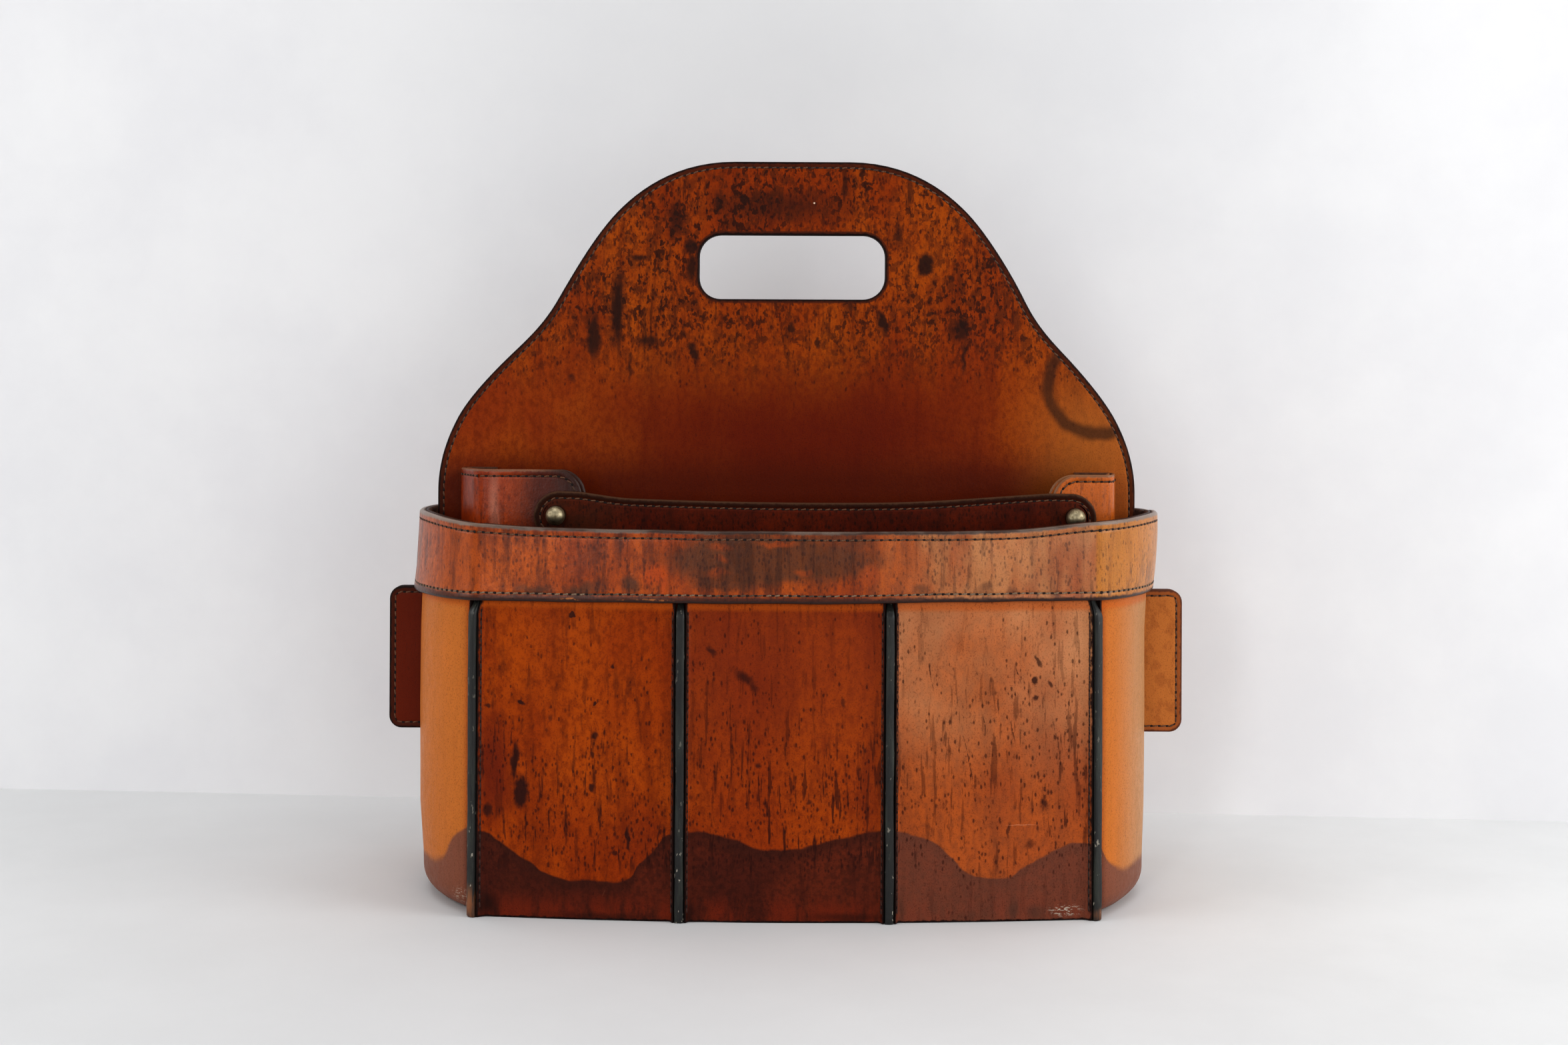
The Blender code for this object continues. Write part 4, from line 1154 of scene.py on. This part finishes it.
def end_sheet(path, sign):
    """The right end wall's shape. sign is -1 where it will be turned round to the left."""
    half, slit_low, slit_high = SLIT
    middle = path.length / 2
    lean = END_ANGLE - CORNER_WELT_TURN
    steps = 14
    columns = [("start", t, proud) for t, proud in END_LIP]
    columns += [("middle", t, 0.0) for t in spread(0.010, middle - half, steps)]
    columns += [("middle", t, 0.0) for t in spread(middle + half, path.length - 0.010, steps)]
    columns += [("end", t, proud) for t, proud in reversed(END_LIP)]
    rows = end_rows()
    beside_slit = [j for j, row in enumerate(rows) if row[0] == "up" and slit_low <= row[2] < slit_high]
    holes = {(len(END_LIP) + steps, j) for j in beside_slit}

    def place(column, row):
        side, t, proud = column
        base = t if side == "middle" else t / math.cos(lean)
        s = path.length - base if side == "end" else base
        point = path.spot(s)[0]
        measured, out, z, distance, turn = row
        rim = rim_z(sign * point.x, sign * point.y)
        if measured == "down":
            z = rim - z
        inner_out = out - WALL * math.sin(turn) + rounding(rim - z, RIM_EDGE)
        inner_z = z + WALL * math.cos(turn)
        out += proud * seam_fade(z) * smooth(z, 0.002, 0.010)
        out += 0.0003 * wander(point.x, point.y, z, 0.04, 5) * seam_fade(z) * smooth(z, 0.004, 0.02)
        pulled = drawn_in(sign * point.x, z)
        if side != "middle":
            distance = min(distance, t - END_LIP[0][0])
        elif slit_low - 0.004 < z < slit_high + 0.004:
            distance = min(distance, max(0.0, abs(s - middle) - half))
        return path.at(s, out - pulled, z), path.at(s, inner_out - pulled, inner_z), min(distance, OPEN)

    return sheet(columns, rows, place, holes=holes)


def make_end_walls():
    path = Path(end_line())
    for side, sign, transform in (("right", 1, None), ("left", -1, HALF_TURN)):
        name = "end_wall_" + side
        finish_piece(name + "_leather", end_sheet(path, sign), "tub", [name], transform=transform)


def band_out(x, z, low, high):
    """How far the band's face stands off the wall's line. Its lower edge flares at the left."""
    bulge = 0.0003 * math.sin(math.pi * (z - low) / (high - low))
    flare = 0.0011 * smooth(-x, 0.10, 0.17) * smooth(low + 0.012 - z, 0.0, 0.012)
    return GAP + BAND_THICK + bulge + flare - drawn_in(x, z)


def make_rim_band():
    path = Path(tub_line(), closed=True)
    steps = edge_steps(BAND_EDGE, RIM_ROW)
    between = 4

    def place(s, j):
        point = path.spot(s)[0]
        low, high = band_z(point.x, point.y), rim_z(point.x, point.y)
        z = across(steps, between, low, high)[j]
        distance = min(z - low, high - z)
        out = band_out(point.x, z, low, high) - rounding(distance, BAND_EDGE) - groove(distance, RIM_ROW)
        out += 0.00012 * wander(point.x, point.y, z, 0.012, 4)
        return path.at(s, out, z), path.at(s, GAP - drawn_in(point.x, z), z), distance

    bm = sheet(spread(0, path.length, 300)[:-1], range(2 * len(steps) + between), place, closed=True)
    finish_piece("rim_band_leather", bm, "band", ["rim_band"])

    for name, thread, seed in (("upper", "thread_dark", 1), ("lower", "thread_grey", 2)):
        line = []
        for distance in spread(0, path.length, 600):
            s = distance % path.length
            point, normal = path.spot(s)
            low, high = band_z(point.x, point.y), rim_z(point.x, point.y)
            z = high - RIM_ROW if name == "upper" else low + RIM_ROW
            line.append((path.at(s, band_out(point.x, z, low, high) - THREAD_SINK, z), normal))
        stitch_row(f"rim_thread_{name}", [line], thread, seed=seed)


def welt_section(half, proud):
    """A welt's cross-section, half its width and height given, with rounded shoulders."""
    soft = min(0.0011, half * 0.6)
    side = [(-half, -WALL)]
    for angle in spread(0.0, math.pi / 2, 4):
        side.append((-half + soft - soft * math.cos(angle), proud - soft + soft * math.sin(angle)))
    return side + [(0.0, proud + 0.00012)] + [(-a, b) for a, b in reversed(side)]


def welt_bar(x, turn, seed):
    """A welt from the floor to just below the rim, uneven and worn."""
    bm, edge_layer, _ = new_bmesh()
    base = face_spot(x)[0]
    out_way = Vector((math.sin(turn), -math.cos(turn), 0))
    side_way = Vector((math.cos(turn), math.sin(turn), 0))
    fade_low = BAND_LOW - WELT_FADE
    heights = [0.0, 0.0003, 0.0010] + spread(0.003, fade_low, 44) + spread(fade_low, BAND_LOW, 8)[1:]
    rings = []
    for z in heights + [BAND_LOW + 0.010, rim_z(x, -1) - 0.0006]:
        fade = seam_fade(z)
        proud = (WELT_PROUD + WELT_SUNK) * fade - WELT_SUNK - rounding(z, 0.0010)
        proud += 0.00022 * wander(z, seed, size=0.012, seed=seed) * fade
        half = (WELT_HALF + 0.00018 * wander(z, size=0.02, seed=seed + 9)) * (0.72 + 0.28 * fade)
        aside = 0.0003 * wander(z, size=0.035, seed=seed + 20) * fade * (z > 0.004)
        ring = []
        for a, b in welt_section(min(half, WELT_WIDEST), proud):
            ring.append(bm.verts.new(base + side_way * (a + aside) + out_way * b + Vector((0, 0, z))))
            ring[-1][edge_layer] = OPEN * 1000
        rings.append(ring)
    for pair in zip(rings, rings[1:]):
        bridge(bm, *pair)
    bm.faces.new(rings[0][::-1])
    bm.faces.new(rings[-1])
    return bm


def make_welts():
    """Bars of black leather between the turned-out edges."""
    mid_turn = math.asin(SEAM_X / FACE_RADIUS)
    places = (
        ("corner_left", -CORNER_X, -CORNER_WELT_TURN, "corner_right"),
        ("left", -SEAM_X, -mid_turn, "right"),
        ("right", SEAM_X, mid_turn, "left"),
        ("corner_right", CORNER_X, CORNER_WELT_TURN, "corner_left"),
    )
    for seed, (name, x, turn, rear_name) in enumerate(places):
        for transform, node in ((None, "front_welt_" + name), (HALF_TURN, "rear_welt_" + rear_name)):
            bm = welt_bar(x, turn, seed)
            finish_piece(node + "_bar", bm, "welt", [node], transform=transform)


def seam_line(x, side, lean):
    """Where the stitches run beside a welt, on the turned-out edge."""
    line = []
    for z in spread(0.004, BAND_LOW - WELT_FADE * 0.8, 40):
        out = 0.0015 * seam_fade(z)
        moved = SEAM_ROW / math.cos(lean) - out * math.tan(lean)
        point, normal = face_spot(x + side * moved * math.cos(math.asin(x / FACE_RADIUS)))
        tangent = Vector((-normal.y, normal.x, 0)) * side
        line.append((point + normal * out + Vector((0, 0, z)), (normal * 0.35 + tangent).normalized()))
    return line


def make_seam_threads():
    lines = []
    for x, sides in ((-CORNER_X, (1,)), (-SEAM_X, (-1, 1)), (SEAM_X, (-1, 1)), (CORNER_X, (-1,))):
        lean = corner_lean() if abs(x) == CORNER_X else 0.0
        lines += [seam_line(x, side, lean) for side in sides]
    rear_lines = [[(HALF_TURN @ p, HALF_TURN.to_3x3() @ n) for p, n in line] for line in lines]
    for name, seam, seed in (("front", lines, 5), ("rear", rear_lines, 6)):
        stitch_row(name + "_seam_thread", seam, "thread_seam", slant=6, seed=seed)


def make_base():
    """Sole and board, drawn in where the end walls turn under."""
    flat = Matrix.Rotation(-math.pi / 2, 4, "X")
    for name, clear, low, high, at_ends, material, slot in (
        ("base_sole", 0.0020, 0.0, 0.0030, FOOT_RADIUS + 0.0075, "sole", "brown_leather"),
        ("base_board", 0.0016, 0.0033, FLOOR_Z, FOOT_RADIUS + 0.0015, "board", "fibre_board"),
    ):
        path = Path(tub_line(), closed=True)
        outline = []
        for point, normal in zip(path.points[:-1], path.normals):
            end = smooth(abs(point.x), CORNER_X - 0.012, CORNER_X + 0.004)
            outline.append(tuple((point - normal * (WALL + clear + end * at_ends)).xy))
        bm = plate(outline, [], -high, -low, 0.0006)
        finish_piece(name + "_sheet", bm, material, [name], transform=flat)


# ---- divider

def divider_side():
    """Right side above the rim: a round shoulder, a shallow waist and a round flank."""
    points = []
    for (x0, z0, turn0, handle0), (x1, z1, turn1, handle1) in zip(DIVIDER_KNOTS, DIVIDER_KNOTS[1:]):
        leave = handle0 * Vector((math.cos(math.radians(turn0)), math.sin(math.radians(turn0))))
        arrive = handle1 * Vector((math.cos(math.radians(turn1)), math.sin(math.radians(turn1))))
        start, end = Vector((x0, z0)), Vector((x1, z1))
        points += interpolate_bezier(start, start + leave, end - arrive, end, 14)[1 if points else 0:]
    return [(p.x, p.y) for p in points]


def divider_outline():
    half = [(DIVIDER_HALF - 0.012, DIVIDER_BOTTOM)]
    half += [(DIVIDER_HALF, z) for z in (DIVIDER_BOTTOM + 0.016, EAR_Z[0])]
    for z, start in ((EAR_Z[0] + EAR_RADIUS, -90), (EAR_Z[1] - EAR_RADIUS, 0)):
        half += arc((EAR_X - EAR_RADIUS, z), EAR_RADIUS, start, start + 90, 8)
    half += [(DIVIDER_HALF, EAR_Z[1])] + divider_side()
    return leaning(filled_in(half + [(-x, z) for x, z in reversed(half)], 0.006))


def leaning(outline):
    """The divider's crown leans a little to the right."""
    return [(x + DIVIDER_LEAN * smooth(z, 0.240, 0.320), z) for x, z in outline]


def handle_outline():
    half_x, half_z = HANDLE_SIZE[0] / 2, HANDLE_SIZE[1] / 2
    box = rounded_box((-half_x, HANDLE_Z - half_z), (half_x, HANDLE_Z + half_z), HANDLE_RADIUS)
    return leaning(filled_in(box, 0.006))


def outline_rows(outline, y, facing, row, lowest=-1.0):
    """Stitch lines along the stretches of an inset outline that lie above a height."""
    moved = inset(outline, row)
    lines = [[]]
    for x, z in moved + moved[:1]:
        if z > lowest:
            lines[-1].append((Vector((x, y, z)), Vector((0, facing, 0))))
        else:
            lines.append([])
    return [line for line in lines if len(line) > 3]


def make_divider():
    outline, hole = divider_outline(), handle_outline()
    front = DIVIDER_FRONT
    inner = front + DIVIDER_THICK
    for side, low, high, facing in (("front", front, inner, -1), ("rear", -inner, -front, 1)):
        bm = plate(outline, [hole], low, high, 0.0008, DIVIDER_ROW)
        name = f"divider_{side}_leather"
        finish_piece(name + "_sheet", bm, "divider", [name])
        rows = outline_rows(outline, -facing * (front + THREAD_SINK), facing, DIVIDER_ROW, 0.080)
        stitch_row(f"divider_thread_{side}", rows, "thread_dark", seed=7 + facing)
    bm = plate(inset(outline, 0.0003), [inset(hole, -0.0003)], inner + 0.00002, -inner - 0.00002, 0.0002)
    finish_piece("divider_core_layer", bm, "core", ["divider_core_board"])


# ---- brackets, strap and studs

def bracket_path(root_x, bend_x, end_x, depth):
    """A ply's outer face seen from above: foot on the divider, leg forward, leaf along the strap."""
    toward = 1 if end_x > root_x else -1
    foot_y = DIVIDER_FRONT - GAP
    corners = (
        (root_x + toward * FOOT_LENGTH, foot_y, 0), (root_x, foot_y, 0),
        (bend_x, BRACKET_FACE_Y, 0), (end_x, BRACKET_FACE_Y, 0),
    )
    line = rounded_line([Vector(corner) for corner in corners], BEND_RADIUS)
    path = Path(line if toward > 0 else line[::-1])
    return Path([p - n * depth for p, n in zip(path.points, path.normals)])


def bracket_sheet(path, toward, bottom, top, sewn):
    """One ply of a bracket. Distances along it start at the leaf's free end, which has round corners."""
    steps = edge_steps(BRACKET_EDGE, BRACKET_ROW)
    between = 5
    corner = [BRACKET_RADIUS * (1 - math.cos(angle)) for angle in spread(0.0, math.pi / 2, 14)]
    spots = corner + spread(corner[-1], path.length, 26)[1:-1] + [path.length - 0.0004, path.length]

    def place(t, j):
        cut = rounding(t, BRACKET_RADIUS)
        low, high = bottom + cut, top - cut
        z = across(steps, between, low, high)[j]
        edge = min(z - low, high - z, steps[-1])
        if t < BRACKET_RADIUS:
            past = max(0.0, abs(z - (low + high) / 2) - (top - bottom) / 2 + BRACKET_RADIUS)
            edge = min(edge, max(0.0, BRACKET_RADIUS - math.hypot(BRACKET_RADIUS - t, past)))
        else:
            edge = min(edge, t)
        s = t if toward < 0 else path.length - t
        drop = rounding(edge, BRACKET_EDGE)
        sunk = groove(edge, BRACKET_ROW) if sewn else 0.0
        return path.at(s, -drop - sunk, z), path.at(s, -BRACKET_PLY + drop, z), edge

    return sheet(spots[::-toward], range(2 * len(steps) + between), place)


def make_bracket(side, root_x, bend_x, end_x, taller=0.0):
    bottom, top = BRACKET_Z[0], BRACKET_Z[1] + taller
    toward = 1 if end_x > root_x else -1
    for ply, depth, longer in (("outer", 0.0, 0.0), ("lining", BRACKET_PLY + GAP, LINING_SHOWS)):
        path = bracket_path(root_x, bend_x, end_x + toward * longer, depth)
        name = f"bracket_{side}_{ply}"
        bm = bracket_sheet(path, toward, bottom, top, ply == "outer")
        finish_piece(name + "_leather", bm, "bracket", [name])
        if ply == "outer":
            stitch_bracket(side, path, toward, bottom, top)


def stitch_bracket(side, path, toward, bottom, top):
    """One row along the top, round the free end and back along the bottom."""
    radius = BRACKET_RADIUS - BRACKET_ROW
    start = path.length - 0.012
    flat = [start, start * 0.75, start * 0.5, BRACKET_RADIUS + 0.004]
    route = [(t, top - BRACKET_ROW) for t in flat]
    route += arc((BRACKET_RADIUS, top - BRACKET_RADIUS), radius, 90, 180, 8)
    route += arc((BRACKET_RADIUS, bottom + BRACKET_RADIUS), radius, 180, 270, 8)
    route += [(t, bottom + BRACKET_ROW) for t in reversed(flat)]
    line = []
    for (t0, z0), (t1, z1) in zip(route, route[1:]):
        pieces = max(1, round(math.hypot(t1 - t0, z1 - z0) / 0.002))
        for i in range(pieces):
            t, z = t0 + (t1 - t0) * i / pieces, z0 + (z1 - z0) * i / pieces
            s = t if toward < 0 else path.length - t
            line.append((path.at(s, -GROOVE_DEPTH * 0.7, z), path.spot(s)[1]))
    stitch_row(f"bracket_thread_{side}", [line], "thread_dark", seed=11)


def strap_middle(x):
    middle = sum(STRAP_ENDS) / 2
    half = (STRAP_ENDS[1] - STRAP_ENDS[0]) / 2
    return STUD_Z - STRAP_SAG * (1 - ((x - middle) / half) ** 2)


def strap_waist(x):
    """How much the worn upper edge lies below the pattern between the two ends."""
    left, right = x - STRAP_ENDS[0], STRAP_ENDS[1] - x
    fade = smooth(left, 0.013, 0.026) * smooth(right, 0.013, 0.026)
    waist = smooth(left, 0.014, 0.050) * smooth(right, 0.014, 0.110)
    return 0.0026 * waist - 0.0007 * fade


def strap_outline():
    low, high = STRAP_ENDS[0] + STRAP_HALF_HEIGHT, STRAP_ENDS[1] - STRAP_HALF_HEIGHT
    xs = spread(low, high, 90)
    below = [(x, strap_middle(x) - STRAP_HALF_HEIGHT) for x in xs]
    above = [(x, strap_middle(x) + STRAP_HALF_HEIGHT - strap_waist(x)) for x in reversed(xs)]
    right = arc((high, strap_middle(high)), STRAP_HALF_HEIGHT, -90, 90, 20)[1:-1]
    left = arc((low, strap_middle(low)), STRAP_HALF_HEIGHT, 90, 270, 20)[1:-1]
    return below + right + above + left


def make_strap():
    outline = strap_outline()
    holes = [arc((x, STUD_Z), 0.0031, 0, 345, 23) for x in STUD_X]
    bm = plate(outline, holes, STRAP_FRONT, STRAP_BACK, 0.0009, STRAP_ROW)
    nodes = ["strap_face", "strap_lining", "strap_end_face", "strap_end_lining"]
    strap = finish_piece("strap_leather", bm, "strap", nodes, body=None)
    lines = outline_rows(outline, STRAP_FRONT + THREAD_SINK, -1, STRAP_ROW)
    lines += outline_rows(outline, STRAP_BACK - THREAD_SINK, 1, STRAP_ROW)
    thread = stitch_row("strap_thread", lines, "thread_dark", body=None, seed=13)
    for piece in (strap, thread):
        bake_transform(piece)


def make_studs():
    """Ball studs, drawn from behind the strap, and the screws that hold them, from behind the brackets."""
    ball, neck, flange, standoff = 0.0049, 0.0023, 0.0040, 0.0066
    ball_end = -math.degrees(math.acos(neck / ball))
    stud = [(0.0, standoff + ball)] + arc((0.0, standoff), ball, 84, ball_end, 22)
    stud += [(neck, 0.0016), (neck + 0.0004, 0.0011), (flange - 0.0002, 0.001), (flange, 0.0008)]
    stud += [(flange, 0.0), (0.0, 0.0)]
    head = 0.0045
    screw = [(0.0, 0.0001), (head, 0.0001), (head, -0.0006), (head - 0.0003, -0.0010), (head * 0.72, -0.0014)]
    screw += [(head * 0.36, -0.0016), (0.0, -0.0017)]
    upright = Matrix.Rotation(math.pi / 2, 4, "X")
    for side, x in zip(("left", "right"), STUD_X):
        screw_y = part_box("stud_screw_" + side)[1].y - 0.0017
        for kind, profile, y in (("stud", stud, STRAP_BACK), ("stud_screw", screw, screw_y)):
            node = f"{kind}_{side}"
            place = Matrix.Translation((x, y, STUD_Z)) @ upright
            finish_piece(node + "_metal", turned(profile), kind, [node], transform=place)


# ---- stage

def one_sided(name, low, high, shade):
    """Pale paint with patches of painted shade, which shows only from its front, so that the object can be
    seen from behind and below.
    """
    s = Shader(name)
    paint = s.noise(s.place, 9, 5, 0.6)
    colour = s.mix(s.ease(paint, 0.3, 0.7), low, high)
    s.finish(s.mix(s.marks(s.place, shade), colour, rgb(205, 206, 207)), 0.75, specular=0.2)
    clear = s.node("BsdfTransparent").outputs[0]
    back = s.node("NewGeometry").outputs["Backfacing"]
    mixed = s.node("MixShader", {0: back, 1: s.surface.outputs[0], 2: clear}).outputs[0]
    s.feed(s.tree.nodes["Material Output"].inputs["Surface"], mixed)
    return s.material


def stage_plane(name, corners, material):
    mesh = bpy.data.meshes.new(name)
    mesh.from_pydata(corners, [], [(0, 1, 2, 3)])
    mesh.materials.append(material)
    add_object(name, mesh)


# Painted shade on the wall and floor: x and z of each patch in mm, as for the leathers' marks
WALL_SHADE = ((0, 480, 420, 330, 0, 1.0, 0.48), (800, 700, 500, 400, 0, 1.0, 0.5))
FLOOR_SHADE = ((-150, 0, 650, 500, 0, 1.0, 0.45),)


def make_stage():
    far = 2.5
    floor_paint = one_sided("floor_paint", rgb(221, 222, 222), rgb(226, 227, 227), FLOOR_SHADE)
    stage_plane("floor", [(-far, -0.75, 0), (far, -0.75, 0), (far, far, 0), (-far, far, 0)], floor_paint)
    (left_x, left_y), (right_x, right_y), height = (-1.4, 0.266), (1.4, 0.076), 1.6
    wall = [(left_x, left_y, 0), (right_x, right_y, 0), (right_x, right_y, height), (left_x, left_y, height)]
    stage_plane("wall", wall, one_sided("wall_paint", rgb(229, 229, 231), rgb(235, 235, 236), WALL_SHADE))

    world = bpy.data.worlds.new("studio")
    world.use_nodes = True
    background = world.node_tree.nodes["Background"]
    background.inputs["Color"].default_value = rgb(236, 236, 238)
    background.inputs["Strength"].default_value = 0.26
    bpy.context.scene.world = world


def add_light(name, place, target, size, power):
    light = bpy.data.lights.new(name, "AREA")
    light.shape = "RECTANGLE"
    light.size, light.size_y = size
    light.energy = power
    obj = add_object(name, light)
    obj.location = place
    obj.rotation_euler = (Vector(target) - Vector(place)).to_track_quat("-Z", "Y").to_euler()


def make_lights():
    body = (0, 0, 0.15)
    add_light("left_window", (-1.5, -0.6, 0.8), body, (1.0, 1.2), 8.5)
    add_light("right_window", (1.5, -0.55, 0.75), body, (1.0, 1.2), 12.5)
    add_light("front_left_strip", (-0.62, -1.8, 0.6), body, (0.20, 1.2), 4.6)
    add_light("front_right_haze", (0.72, -1.5, 0.42), body, (0.75, 0.9), 4.6)
    add_light("top", (0, -0.3, 1.7), (0, 0.1, 0.0), (1.6, 1.0), 7)


def make_camera():
    data = bpy.data.cameras.new("camera")
    data.lens = 43.04
    data.shift_y = -0.0962
    camera = add_object("camera", data)
    camera.location = (0.0017, -0.9809, 0.2631)
    camera.rotation_euler = [math.radians(angle) for angle in (90.155, -0.283, 0.185)]
    bpy.context.scene.camera = camera
    bpy.context.scene.view_settings.view_transform = "Standard"
    bpy.context.scene.view_settings.look = "Medium High Contrast"


make_camera()
make_panels()
make_end_walls()
make_welts()
make_seam_threads()
make_rim_band()
make_base()
make_divider()
make_bracket("left", -0.1724, -0.1575, -0.1038, 0.0014)
make_bracket("right", 0.1715, 0.166, 0.135)
make_strap()
make_studs()
make_stage()
make_lights()
